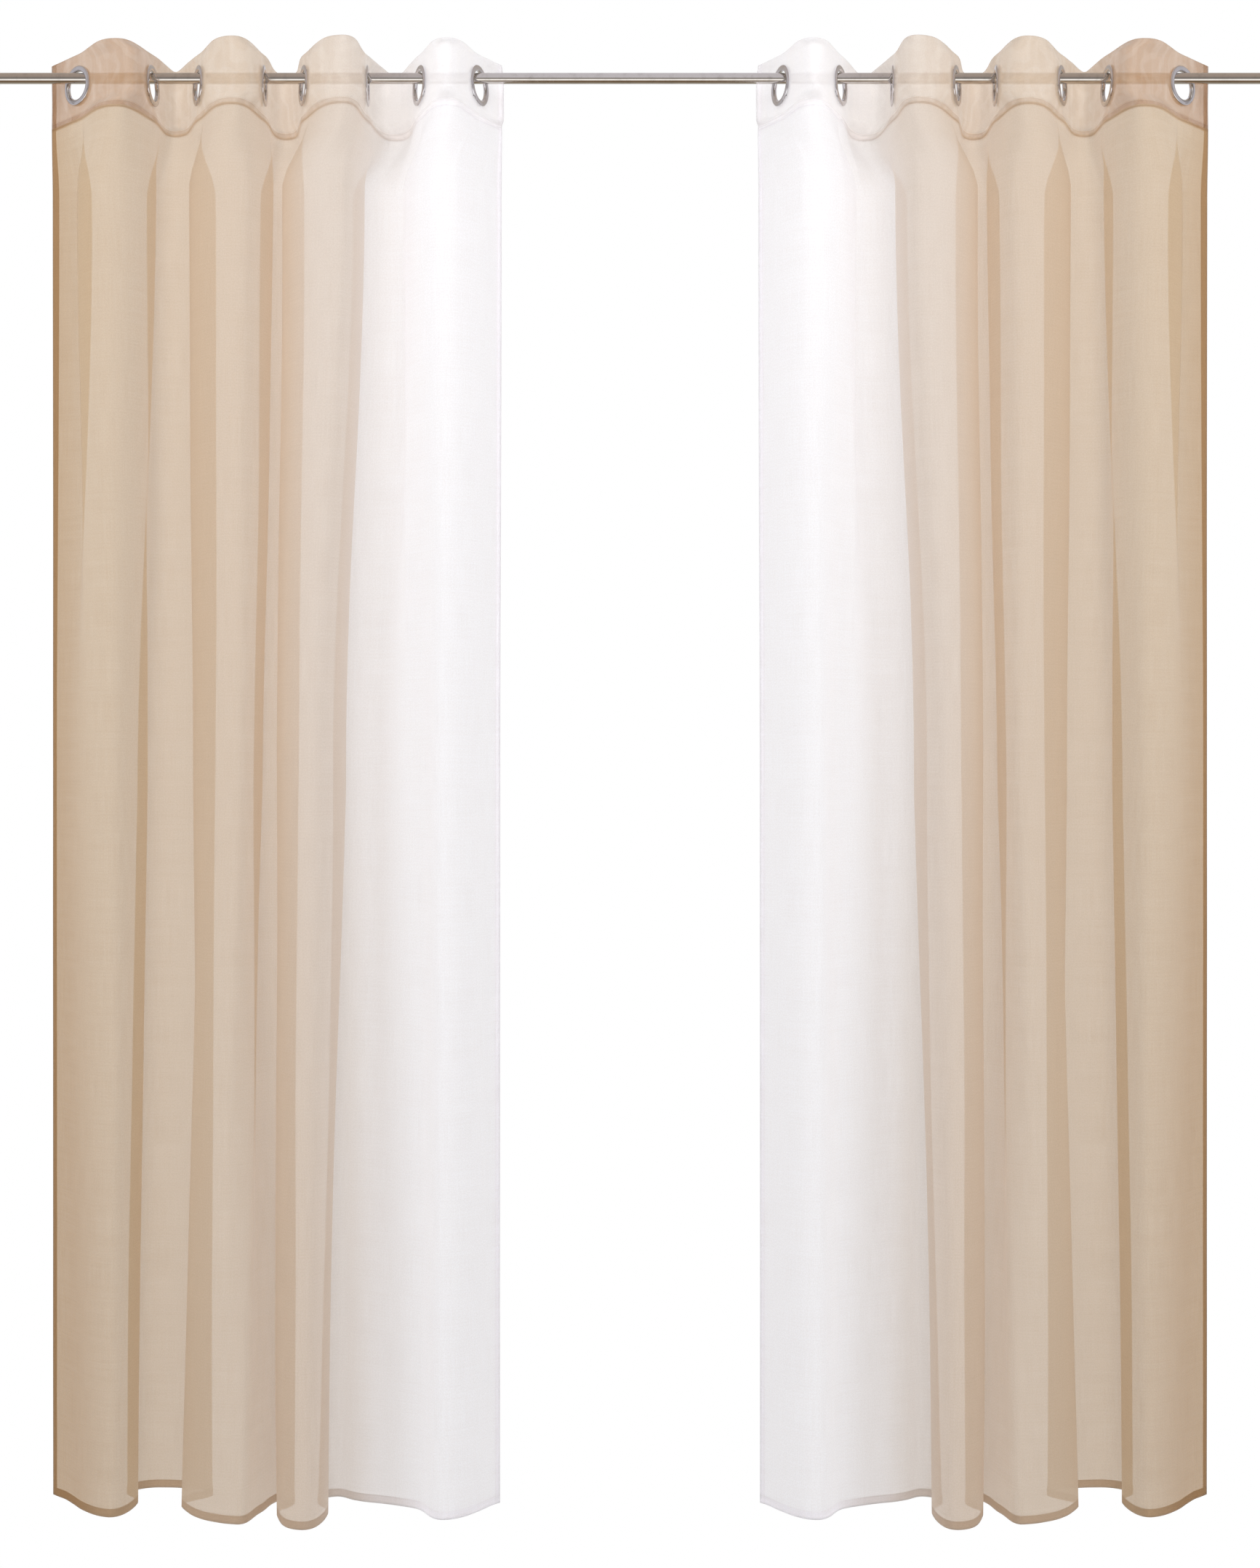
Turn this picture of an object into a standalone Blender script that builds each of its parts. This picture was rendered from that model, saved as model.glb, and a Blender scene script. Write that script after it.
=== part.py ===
"""Eyelet curtains on a rod: two sheer panels, each hung by eight ring eyelets from a steel tube on two wall brackets.

The frame's origin is on the wall, midway between the brackets and level with the rod's axis. +X runs along the rod,
-Y points from the wall into the room and +Z is up. Lengths are in metres.
"""

import math

import bmesh
import bpy
from mathutils import Vector
from mathutils.geometry import interpolate_bezier

MM = 0.001
GAP = 0.3 * MM  # between pieces that touch

# The rod and its end caps
BRACKET_SPACING = 2.16
ROD_OVERHANG = 120 * MM  # past each bracket
ROD_RADIUS = 8 * MM
ROD_WALL = 1 * MM
ROD_TO_WALL = 120 * MM  # the rod's axis to the wall
CAP_RADIUS = ROD_RADIUS + 3 * MM
CAP_LENGTH = 14 * MM
CAP_EDGE = 2 * MM
SPIGOT_LENGTH = 18 * MM
ROD_SIDES = 24

# The wall brackets
PLATE_RADIUS = 27 * MM
PLATE_THICKNESS = 5 * MM
PLATE_EDGE = 1.2 * MM
ARM_RADIUS = 6 * MM
COLLAR_WALL = 4.5 * MM
COLLAR_WIDTH = 14 * MM
ARM_SCREW_RADIUS = 2.5 * MM
ARM_SCREW_HEAD = 4.6 * MM
ARM_SCREW_HEAD_DEPTH = 2.4 * MM
ARM_SCREW_REACH = 14 * MM  # into the arm
SET_SCREW_RADIUS = 2 * MM
WALL_SCREW_RADIUS = 2.1 * MM
WALL_SCREW_HEAD = 4.2 * MM
WALL_SCREW_HEAD_DEPTH = 2.6 * MM
WALL_SCREW_REACH = 32 * MM  # into the wall
WALL_SCREW_OFFSET = 17 * MM  # above and below the arm
SCREW_PLAY = 0.4 * MM
SCREW_SIDES = 12

# The cloth
PANEL_WIDTH = 1.40  # laid flat
PANEL_HEIGHT = 2.25
HEADER_HEIGHT = 104 * MM
CLOTH = 0.8 * MM
TAPE = 0.8 * MM  # the stiff interlining inside the header
TAPE_INSET = 3 * MM  # below the header's top fold and above its lower edge
EDGE_TO_EYELET = 65 * MM  # along the cloth, from a side edge to the nearest eyelet's centre
EYELET_BELOW_TOP = 49 * MM
BRACKET_TO_EYELET = 225 * MM  # along the rod, from a bracket to the panel's outer eyelet

# The eyelets
EYELET_SIDES = 16
THROAT_RADIUS = 21.5 * MM  # the hole at its narrowest
BARREL_RADIUS = THROAT_RADIUS + 2.8 * MM
FLANGE_RADIUS = BARREL_RADIUS + 5.7 * MM
FLANGE_THICKNESS = 2.2 * MM
FLANGE_EDGE = 2 * MM
BARREL_PAST_CLOTH = 1 * MM
MOUTH_FLARE = 3 * MM  # how much wider the hole is at the flange's face than at its throat

# How the panels hang: each gap between eyelets along the rod, as a share of the cloth between them, and the angle at
# which each eyelet crosses the rod. Odd eyelets carry the cloth towards the room, even ones back to the wall.
GAP_SHARES = (0.63, 0.40, 0.55, 0.35, 0.53, 0.46, 0.50)
TURNS = tuple(math.radians(turn) for turn in (35, 89, 62.5, 96, 67.5, 95, 64.5, 69))
OUTER_EDGE_CURL = math.radians(0)
INNER_EDGE_CURL = math.radians(-50)
FOLD_POINTS = 7
FLAP_POINTS = 3

# What follows from them
BRACKET_X = BRACKET_SPACING / 2
HALF_ROD = BRACKET_X + ROD_OVERHANG
HEADER_HALF = TAPE / 2 + GAP + CLOTH
LAYER_OFFSET = TAPE / 2 + GAP + CLOTH / 2
FLANGE_SEAT = HEADER_HALF + GAP
EYELET_FACE = FLANGE_SEAT + FLANGE_THICKNESS
BARREL_END = FLANGE_SEAT + BARREL_PAST_CLOTH
CLOTH_BETWEEN_EYELETS = (PANEL_WIDTH - 2 * EDGE_TO_EYELET) / len(GAP_SHARES)
CLOTH_HOLE_RADIUS = (BARREL_RADIUS + GAP) / math.cos(math.pi / SCREW_SIDES)  # its flats clear the barrel
FLAT_HALF = FLANGE_RADIUS + 1 * MM  # the cloth lies flat under a flange
COLLAR_RADIUS = ROD_RADIUS + GAP + COLLAR_WALL


def clear_scene():
    for thing in list(bpy.data.objects):
        bpy.data.objects.remove(thing, do_unlink=True)


def new_collection(name):
    made = bpy.data.collections.new(name)
    bpy.context.scene.collection.children.link(made)
    return made


def new_material(name, colour, roughness, metallic):
    made = bpy.data.materials.new(name)
    made.use_nodes = True
    shader = made.node_tree.nodes["Principled BSDF"]
    shader.inputs["Base Color"].default_value = (*colour, 1.0)
    shader.inputs["Roughness"].default_value = roughness
    shader.inputs["Metallic"].default_value = metallic
    made.diffuse_color = (*colour, 1.0)
    return made


def new_object(name, mesh, home, material=None):
    made = bpy.data.objects.new(name, mesh)
    home.objects.link(made)
    if material:
        mesh.materials.append(material)
    return made


def aim(piece, place, way):
    """Puts a piece that was modelled along its own +Z at place, pointing along way."""
    piece.rotation_mode = "QUATERNION"
    piece.rotation_quaternion = Vector(way).to_track_quat("Z", "Y")
    piece.location = place


def turned(name, profile, home, material, sides, closed=False):
    """A solid of revolution about its own Z. The profile is (radius, height) points down its outer side."""
    mesh = bpy.data.meshes.new(name)
    shape = bmesh.new()
    corners = [shape.verts.new((radius, 0, height)) for radius, height in profile]
    for first, second in zip(corners, corners[1:] + corners[:1] if closed else corners[1:]):
        shape.edges.new((first, second))
    shape.to_mesh(mesh)
    shape.free()
    made = new_object(name, mesh, home, material)
    spin = made.modifiers.new("Turn", "SCREW")
    spin.steps = spin.render_steps = sides
    spin.use_merge_vertices = True
    spin.merge_threshold = 0.00001
    spin.use_smooth_shade = False
    return made


def cylinder(name, radius, length, home, material=None, sides=SCREW_SIDES):
    """A cylinder along its own Z, centred on its origin."""
    mesh = bpy.data.meshes.new(name)
    shape = bmesh.new()
    bmesh.ops.create_cone(shape, cap_ends=True, segments=sides, radius1=radius, radius2=radius, depth=length)
    shape.to_mesh(mesh)
    shape.free()
    return new_object(name, mesh, home, material)


def as_cutter(piece):
    piece.hide_render = True
    piece.display_type = "WIRE"
    return piece


def boolean(piece, other, operation):
    change = piece.modifiers.new(operation.title(), "BOOLEAN")
    change.operation = operation
    change.object = other


# The rod


def make_rod(home, steel):
    outer, inner = ROD_RADIUS, ROD_RADIUS - ROD_WALL
    profile = [(outer, HALF_ROD), (outer, -HALF_ROD), (inner, -HALF_ROD), (inner, HALF_ROD)]
    rod = turned("rod", profile, home, steel, ROD_SIDES, closed=True)
    aim(rod, (0, -ROD_TO_WALL, 0), (1, 0, 0))


def make_end_cap(side, sign, home, steel):
    spigot = ROD_RADIUS - ROD_WALL - GAP
    profile = [
        (0, CAP_LENGTH),
        (CAP_RADIUS - CAP_EDGE, CAP_LENGTH),
        (CAP_RADIUS, CAP_LENGTH - CAP_EDGE),
        (CAP_RADIUS, 0),
        (spigot, 0),
        (spigot, -SPIGOT_LENGTH),
        (0, -SPIGOT_LENGTH),
    ]
    cap = turned(f"{side}_end_cap", profile, home, steel, ROD_SIDES)
    aim(cap, (sign * (HALF_ROD + GAP), -ROD_TO_WALL, 0), (sign, 0, 0))


# The brackets


def make_wall_plate(side, x, home, cutters, steel):
    profile = [
        (0, PLATE_THICKNESS),
        (PLATE_RADIUS - PLATE_EDGE, PLATE_THICKNESS),
        (PLATE_RADIUS, PLATE_THICKNESS - PLATE_EDGE),
        (PLATE_RADIUS, 0),
        (0, 0),
    ]
    plate = turned(f"{side}_wall_plate", profile, home, steel, ROD_SIDES)
    aim(plate, (x, 0, 0), (0, -1, 0))
    through = cylinder(f"{side}_arm_screw_hole", ARM_SCREW_RADIUS + SCREW_PLAY, 3 * PLATE_THICKNESS, cutters)
    aim(as_cutter(through), (x, 0, 0), (0, -1, 0))
    boolean(plate, through, "DIFFERENCE")
    sink_depth = 2 * (ARM_SCREW_HEAD_DEPTH + 2 * GAP)
    sink = cylinder(f"{side}_arm_screw_sink", ARM_SCREW_HEAD + SCREW_PLAY, sink_depth, cutters)
    aim(as_cutter(sink), (x, 0, 0), (0, -1, 0))
    boolean(plate, sink, "DIFFERENCE")
    for place, z in (("upper", WALL_SCREW_OFFSET), ("lower", -WALL_SCREW_OFFSET)):
        hole = cylinder(f"{side}_{place}_hole", WALL_SCREW_RADIUS + SCREW_PLAY, 3 * PLATE_THICKNESS, cutters)
        aim(as_cutter(hole), (x, 0, z), (0, -1, 0))
        boolean(plate, hole, "DIFFERENCE")


def make_rod_holder(side, x, home, cutters, steel):
    """The arm and the collar that the rod runs through, in one piece."""
    arm_back = PLATE_THICKNESS + GAP
    arm_front = ROD_TO_WALL - ROD_RADIUS - GAP - COLLAR_WALL / 2
    holder = cylinder(f"{side}_rod_holder", ARM_RADIUS, arm_front - arm_back, home, steel, ROD_SIDES)
    aim(holder, (x, -(arm_front + arm_back) / 2, 0), (0, -1, 0))
    collar = cylinder(f"{side}_collar", COLLAR_RADIUS, COLLAR_WIDTH, cutters, sides=ROD_SIDES)
    aim(as_cutter(collar), (x, -ROD_TO_WALL, 0), (1, 0, 0))
    boolean(holder, collar, "UNION")
    bore = cylinder(f"{side}_collar_bore", ROD_RADIUS + GAP, 2 * COLLAR_WIDTH, cutters, sides=ROD_SIDES)
    aim(as_cutter(bore), (x, -ROD_TO_WALL, 0), (1, 0, 0))
    boolean(holder, bore, "DIFFERENCE")
    thread = cylinder(f"{side}_arm_thread", ARM_SCREW_RADIUS + GAP, 2 * (ARM_SCREW_REACH + GAP), cutters)
    aim(as_cutter(thread), (x, -arm_back, 0), (0, -1, 0))
    boolean(holder, thread, "DIFFERENCE")
    set_hole = cylinder(f"{side}_set_screw_hole", SET_SCREW_RADIUS + GAP, 2 * COLLAR_WALL, cutters)
    aim(as_cutter(set_hole), (x, -ROD_TO_WALL, -COLLAR_RADIUS), (0, 0, 1))
    boolean(holder, set_hole, "DIFFERENCE")


def make_arm_screw(side, x, home, steel):
    """Holds the arm from behind. Its head lies in the plate's back."""
    head_top = -GAP
    head_bottom = head_top - ARM_SCREW_HEAD_DEPTH
    tip = -(PLATE_THICKNESS + ARM_SCREW_REACH)
    profile = [
        (0, head_top),
        (ARM_SCREW_HEAD, head_top),
        (ARM_SCREW_HEAD, head_bottom),
        (ARM_SCREW_RADIUS, head_bottom),
        (ARM_SCREW_RADIUS, tip),
        (0, tip),
    ]
    screw = turned(f"{side}_arm_screw", profile, home, steel, SCREW_SIDES)
    aim(screw, (x, 0, 0), (0, 1, 0))


def make_set_screw(side, x, home, steel):
    """Presses on the rod from below, through the collar."""
    length = COLLAR_WALL - GAP
    screw = cylinder(f"{side}_set_screw", SET_SCREW_RADIUS, length, home, steel)
    aim(screw, (x, -ROD_TO_WALL, -(ROD_RADIUS + 2 * GAP + length / 2)), (0, 0, -1))


def make_wall_screws(side, x, home, steel):
    seat = PLATE_THICKNESS + GAP
    profile = [
        (0, seat + WALL_SCREW_HEAD_DEPTH),
        (WALL_SCREW_HEAD * 0.6, seat + WALL_SCREW_HEAD_DEPTH),
        (WALL_SCREW_HEAD, seat + WALL_SCREW_HEAD_DEPTH * 0.4),
        (WALL_SCREW_HEAD, seat),
        (WALL_SCREW_RADIUS, seat),
        (WALL_SCREW_RADIUS, -WALL_SCREW_REACH),
        (0, -WALL_SCREW_REACH - 2 * WALL_SCREW_RADIUS),
    ]
    for place, z in (("upper", WALL_SCREW_OFFSET), ("lower", -WALL_SCREW_OFFSET)):
        screw = turned(f"{side}_wall_screw_{place}", profile, home, steel, SCREW_SIDES)
        aim(screw, (x, 0, z), (0, -1, 0))


# How a panel hangs, in plan: x along the rod from the middle, y from the rod's axis towards the wall. The plan is
# worked out for the left panel, from its outer edge to its inner one. The right panel is its mirror image.


def seat_of_rod():
    """How far above an eyelet's centre the rod's axis lies: as far as the most slanted eyelet's hole lets it."""
    turn = min(TURNS)
    across = ROD_RADIUS / math.sin(turn)
    facet = math.cos(math.pi / EYELET_SIDES)
    levels = ((0, THROAT_RADIUS), (EYELET_FACE, THROAT_RADIUS + MOUTH_FLARE))
    points = [math.radians(angle) for angle in range(0, 91, 5)]
    seat = THROAT_RADIUS - ROD_RADIUS

    def reach(level, angle):
        return math.hypot(level / math.tan(turn) + across * math.cos(angle), seat + ROD_RADIUS * math.sin(angle))

    while any(reach(level, angle) > room * facet - GAP for level, room in levels for angle in points):
        seat -= 0.1 * MM
    return seat


def length_of(points):
    return sum((second - first).length for first, second in zip(points, points[1:]))


def eyelets_in_plan():
    """The centre of each eyelet and the way that the cloth runs there."""
    x = -(BRACKET_X - BRACKET_TO_EYELET)
    placed = []
    for number, turn in enumerate(TURNS):
        towards_wall = -1 if number % 2 == 0 else 1
        placed.append((Vector((x, 0)), Vector((math.cos(turn), towards_wall * math.sin(turn)))))
        if number < len(GAP_SHARES):
            x += GAP_SHARES[number] * CLOTH_BETWEEN_EYELETS
    return placed


def fold_between(start, start_way, end, end_way):
    """The free cloth between two eyelets: a curve whose two handles are as long as the cloth's length makes them."""
    cloth = CLOTH_BETWEEN_EYELETS - 2 * FLAT_HALF
    shortest, longest = 0.0, cloth
    for _ in range(40):
        handle = (shortest + longest) / 2
        points = interpolate_bezier(start, start + start_way * handle, end - end_way * handle, end, FOLD_POINTS)
        if length_of(points) < cloth:
            shortest = handle
        else:
            longest = handle
    return points


def flap(start, way, curl):
    """The cloth past a panel's last eyelet, from the flange to the side edge, along an arc."""
    step = (EDGE_TO_EYELET - FLAT_HALF) / FLAP_POINTS
    points = []
    for number in range(FLAP_POINTS):
        turn = curl * (number + 0.5) / FLAP_POINTS
        cos, sin = math.cos(turn), math.sin(turn)
        start = start + Vector((way.x * cos - way.y * sin, way.x * sin + way.y * cos)) * step
        points.append(start)
    return points


def cloth_plan():
    """The header's line in plan, from the panel's outer edge to its inner one."""
    placed = eyelets_in_plan()
    first, first_way = placed[0]
    last, last_way = placed[-1]
    plan = flap(first - first_way * FLAT_HALF, -first_way, OUTER_EDGE_CURL)[::-1]
    for (centre, way), (next_centre, next_way) in zip(placed, placed[1:]):
        plan.append(centre - way * FLAT_HALF)
        fold = fold_between(centre + way * FLAT_HALF, way, next_centre - next_way * FLAT_HALF, next_way)
        plan += [Vector(point[:2]) for point in fold[:-1]]
    plan += [last - last_way * FLAT_HALF, last + last_way * FLAT_HALF]
    return plan + flap(last + last_way * FLAT_HALF, last_way, INNER_EDGE_CURL)


def moved_sideways(plan, distance):
    """The plan moved square to itself, towards the room where distance is positive and the cloth runs along +X."""
    ways = [(second - first).normalized() for first, second in zip(plan, plan[1:])]
    moved = []
    for point, before, after in zip(plan, ways[:1] + ways, ways + ways[-1:]):
        square = Vector((before.y + after.y, -before.x - after.x))
        moved.append(point + square * (distance / (1 + before.dot(after))))
    return moved


def hung(name, rows, sign, thickness, home, material, cutters):
    """A sheet of this thickness through rows of plan points, each row at its own height, with the eyelet holes cut."""
    mesh = bpy.data.meshes.new(name)
    shape = bmesh.new()
    bmesh.ops.create_grid(shape, x_segments=len(rows[0][0]) - 1, y_segments=len(rows) - 1)
    places = [(-sign * point.x, point.y - ROD_TO_WALL, height) for plan, height in rows for point in plan]
    for corner, place in zip(shape.verts, places):
        corner.co = place
    bmesh.ops.recalc_face_normals(shape, faces=shape.faces)
    shape.to_mesh(mesh)
    shape.free()
    sheet = new_object(name, mesh, home, material)
    body = sheet.modifiers.new("Cloth", "SOLIDIFY")
    body.thickness = thickness
    body.offset = 0
    body.use_even_offset = True
    cut = sheet.modifiers.new("Eyelet holes", "BOOLEAN")
    cut.operation = "DIFFERENCE"
    cut.operand_type = "COLLECTION"
    cut.collection = cutters


def make_eyelet(side, number, centre, facing, home, chrome):
    """The two halves that snap together through the header: the front one carries the barrel."""
    flare = MOUTH_FLARE / EYELET_FACE
    front_profile = [
        (THROAT_RADIUS + MOUTH_FLARE, EYELET_FACE),
        (FLANGE_RADIUS - FLANGE_EDGE, EYELET_FACE),
        (FLANGE_RADIUS, FLANGE_SEAT),
        (BARREL_RADIUS, FLANGE_SEAT),
        (BARREL_RADIUS, -BARREL_END),
        (THROAT_RADIUS + flare * BARREL_END, -BARREL_END),
        (THROAT_RADIUS, 0),
    ]
    back_profile = [
        (FLANGE_RADIUS, -FLANGE_SEAT),
        (FLANGE_RADIUS - FLANGE_EDGE, -EYELET_FACE),
        (BARREL_RADIUS + GAP, -EYELET_FACE),
        (BARREL_RADIUS + GAP, -FLANGE_SEAT),
    ]
    for half, profile in (("front", front_profile), ("back", back_profile)):
        aim(turned(f"{side}_eyelet_{number}_{half}", profile, home, chrome, EYELET_SIDES, closed=True), centre, facing)


def make_panel(side, sign, home, cutters, voile, stiffener, chrome):
    """One panel, with the stiff tape inside its header and its eyelets. sign is -1 on the left and 1 on the right."""
    eyelet_height = -seat_of_rod()
    top = eyelet_height + EYELET_BELOW_TOP
    holes = bpy.data.collections.new(f"{side}_eyelet_holes")
    cutters.children.link(holes)
    for number, (centre, way) in enumerate(eyelets_in_plan(), start=1):
        place = (-sign * centre.x, centre.y - ROD_TO_WALL, eyelet_height)
        facing = (-sign * way.y, -way.x, 0)
        make_eyelet(side, number, place, facing, home, chrome)
        hole = as_cutter(cylinder(f"{side}_hole_{number}", CLOTH_HOLE_RADIUS, 10 * HEADER_HALF, holes))
        aim(hole, place, facing)
    plan = cloth_plan()
    front = moved_sideways(plan, LAYER_OFFSET)
    back = moved_sideways(plan, -LAYER_OFFSET)
    cloth_rows = [
        (front, top - PANEL_HEIGHT),
        (front, top - HEADER_HALF),
        (plan, top - CLOTH / 2),
        (back, top - HEADER_HALF),
        (back, top - HEADER_HEIGHT),
    ]
    hung(f"{side}_curtain", cloth_rows, sign, CLOTH, home, voile, holes)
    tape_rows = [(plan, top - HEADER_HEIGHT + TAPE_INSET), (plan, top - TAPE_INSET)]
    hung(f"{side}_header_tape", tape_rows, sign, TAPE, home, stiffener, holes)


def main():
    clear_scene()
    home = new_collection("curtains_on_rod")
    cutters = new_collection("cutters")
    steel = new_material("brushed_steel", (0.55, 0.54, 0.52), 0.3, 1.0)
    chrome = new_material("polished_chrome", (0.66, 0.66, 0.67), 0.12, 1.0)
    zinc = new_material("zinc_screw", (0.6, 0.6, 0.58), 0.4, 1.0)
    voile = new_material("voile", (0.66, 0.52, 0.39), 0.8, 0.0)
    stiffener = new_material("header_stiffener", (0.85, 0.8, 0.74), 0.7, 0.0)
    make_rod(home, steel)
    for side, sign in (("left", -1), ("right", 1)):
        x = sign * BRACKET_X
        make_end_cap(side, sign, home, steel)
        make_wall_plate(side, x, home, cutters, steel)
        make_rod_holder(side, x, home, cutters, steel)
        make_arm_screw(side, x, home, zinc)
        make_set_screw(side, x, home, zinc)
        make_wall_screws(side, x, home, zinc)
        make_panel(side, sign, home, cutters, voile, stiffener, chrome)


main()
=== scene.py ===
"""Eyelet curtains on a rod: the visible pieces, their finishes, and the studio they hang in.

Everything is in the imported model's frame, in metres: the origin is on the wall, midway between the brackets and level
with the rod's axis, +X runs along the rod, -Y points into the room and +Z is up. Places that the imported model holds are
read from it. A panel's line in plan is worked out for the left panel and mirrored for the right one.
"""

import logging
import math
from dataclasses import dataclass, field
from enum import Enum
from typing import Callable, Optional, Sequence

import bmesh
import bpy
from mathutils import Matrix, Vector, noise
from mathutils.geometry import interpolate_bezier


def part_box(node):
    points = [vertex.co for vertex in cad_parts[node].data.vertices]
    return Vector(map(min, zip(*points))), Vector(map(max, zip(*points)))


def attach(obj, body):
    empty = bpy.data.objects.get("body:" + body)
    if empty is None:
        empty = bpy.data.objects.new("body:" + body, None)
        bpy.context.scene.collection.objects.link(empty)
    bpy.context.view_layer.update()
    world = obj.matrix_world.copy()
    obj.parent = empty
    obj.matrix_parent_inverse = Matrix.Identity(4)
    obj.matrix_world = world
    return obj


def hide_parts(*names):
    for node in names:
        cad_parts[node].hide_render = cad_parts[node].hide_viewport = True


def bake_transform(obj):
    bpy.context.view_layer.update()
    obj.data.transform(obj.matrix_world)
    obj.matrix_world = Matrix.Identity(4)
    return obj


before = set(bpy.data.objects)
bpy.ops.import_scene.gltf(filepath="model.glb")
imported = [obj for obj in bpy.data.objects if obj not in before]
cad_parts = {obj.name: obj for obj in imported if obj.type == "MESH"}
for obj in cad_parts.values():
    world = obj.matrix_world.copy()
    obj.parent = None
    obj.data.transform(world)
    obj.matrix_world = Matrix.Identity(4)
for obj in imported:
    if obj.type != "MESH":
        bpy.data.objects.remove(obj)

LOG = logging.getLogger("curtains")
MM = 0.001
TO_ROOM = Vector((0, -1, 0))
ALONG_ROD = Vector((1, 0, 0))
SMOOTH_BELOW = math.radians(40)  # edges that bend less than this are shaded smooth

Colour = tuple[float, float, float]
Place = tuple[float, float, float]
Profile = Sequence[tuple[float, float]]


class Side(Enum):
    """Which panel, bracket or end of the rod a piece belongs to."""

    LEFT = "left"
    RIGHT = "right"

    @property
    def sign(self) -> int:
        """-1 on the left and 1 on the right."""
        return -1 if self is Side.LEFT else 1


class Cloth(Enum):
    """The parts of a panel that look different although they are one cloth."""

    HANGING = "voile"
    HEADER = "voile_header"


# Shader building


class Graph:
    """Adds nodes to one node tree and joins them."""

    def __init__(self, tree: bpy.types.NodeTree) -> None:
        """Keeps the tree that the nodes go into.

        Args:
            tree: a material's tree or a node group.
        """
        self.tree = tree

    def add(self, kind: str, **settings: object) -> bpy.types.Node:
        """Adds a node.

        Args:
            kind: the node's type, such as "ShaderNodeMath".
            settings: the node's own properties.

        Returns:
            The new node.
        """
        node = self.tree.nodes.new(kind)
        for name, value in settings.items():
            setattr(node, name, value)
        return node

    def put(self, target: bpy.types.NodeSocket, value: object) -> None:
        """Gives an input a socket's output or a plain value.

        Args:
            target: the input socket.
            value: an output socket, a number, or a tuple.
        """
        if isinstance(value, bpy.types.NodeSocket):
            self.tree.links.new(value, target)
        else:
            target.default_value = value

    def math(self, operation: str, *values: object, clamp: bool = False) -> bpy.types.NodeSocket:
        """A Math node.

        Args:
            operation: such as "ADD" or "SINE".
            values: its inputs in order, sockets or numbers.
            clamp: whether the result is kept within 0 and 1.

        Returns:
            The node's output.
        """
        node = self.add("ShaderNodeMath", operation=operation, use_clamp=clamp)
        for target, value in zip(node.inputs, values):
            self.put(target, value)
        return node.outputs[0]

    def between(
        self, value: object, low: float, high: float, start: float = 0.0, end: float = 1.0
    ) -> bpy.types.NodeSocket:
        """Turns the range low to high into start to end, smoothly and without going past either.

        Args:
            value: the socket to read.
            low: where the range starts.
            high: where the range ends.
            start: what low becomes.
            end: what high becomes.

        Returns:
            The node's output.
        """
        node = self.add("ShaderNodeMapRange", interpolation_type="SMOOTHSTEP")
        self.put(node.inputs["Value"], value)
        for name, number in (("From Min", low), ("From Max", high), ("To Min", start), ("To Max", end)):
            self.put(node.inputs[name], number)
        return node.outputs["Result"]

    def mix(self, share: object, first: object, second: object, blend: str = "MIX") -> bpy.types.NodeSocket:
        """Mixes two colours.

        Args:
            share: how much of the second shows.
            first: a colour or a socket.
            second: a colour or a socket.
            blend: such as "MIX" or "MULTIPLY".

        Returns:
            The mixed colour's output.
        """
        node = self.add("ShaderNodeMix", data_type="RGBA", blend_type=blend)
        self.put(node.inputs["Factor"], share)
        self.put(node.inputs[6], (*first, 1.0) if isinstance(first, tuple) else first)
        self.put(node.inputs[7], (*second, 1.0) if isinstance(second, tuple) else second)
        return node.outputs[2]

    def ramp(
        self, value: object, stops: Sequence[tuple[float, Colour]], interpolation: str = "LINEAR"
    ) -> bpy.types.NodeSocket:
        """Turns a number into a colour.

        Args:
            value: the number's socket.
            stops: the colour at each number from 0 to 1, in order.
            interpolation: how it goes from one colour to the next.

        Returns:
            The colour's output.
        """
        node = self.add("ShaderNodeValToRGB")
        node.color_ramp.interpolation = interpolation
        points = node.color_ramp.elements
        for point, (place, colour) in zip(points, (stops[0], stops[-1])):
            point.position, point.color = place, (*colour, 1.0)
        for place, colour in stops[1:-1]:
            points.new(place).color = (*colour, 1.0)
        self.put(node.inputs[0], value)
        return node.outputs[0]

    def noise(self, vector: object, scale: float, detail: float = 2.0, roughness: float = 0.5) -> bpy.types.NodeSocket:
        """A Noise texture's factor.

        Args:
            vector: where it is read.
            scale: how many bumps there are in a metre.
            detail: how many finer layers it has.
            roughness: how strong the finer layers are.

        Returns:
            The factor's output.
        """
        node = self.add("ShaderNodeTexNoise")
        self.put(node.inputs["Vector"], vector)
        for name, number in (("Scale", scale), ("Detail", detail), ("Roughness", roughness)):
            self.put(node.inputs[name], number)
        return node.outputs["Fac"]

    def stretched(self, vector: object, scale: tuple[float, float, float]) -> bpy.types.NodeSocket:
        """A vector multiplied by a scale of its own along each axis.

        Args:
            vector: the vector's socket.
            scale: the three factors.

        Returns:
            The stretched vector's output.
        """
        node = self.add("ShaderNodeVectorMath", operation="MULTIPLY")
        self.put(node.inputs[0], vector)
        self.put(node.inputs[1], scale)
        return node.outputs["Vector"]

    def bump(self, height: object, distance: float, strength: float) -> bpy.types.NodeSocket:
        """A Bump node.

        Args:
            height: the height's socket.
            distance: how high 1 is, in metres.
            strength: how much of it shows.

        Returns:
            The normal's output.
        """
        node = self.add("ShaderNodeBump")
        self.put(node.inputs["Height"], height)
        self.put(node.inputs["Distance"], distance)
        self.put(node.inputs["Strength"], strength)
        return node.outputs["Normal"]

    def place(self, group: bpy.types.NodeTree, **values: object) -> bpy.types.Node:
        """Places a node group.

        Args:
            group: the group.
            values: its inputs by name, with _ for a space.

        Returns:
            The group's node.
        """
        node = self.add("ShaderNodeGroup", node_tree=group)
        for name, value in values.items():
            self.put(node.inputs[name.replace("_", " ")], value)
        return node


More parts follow.
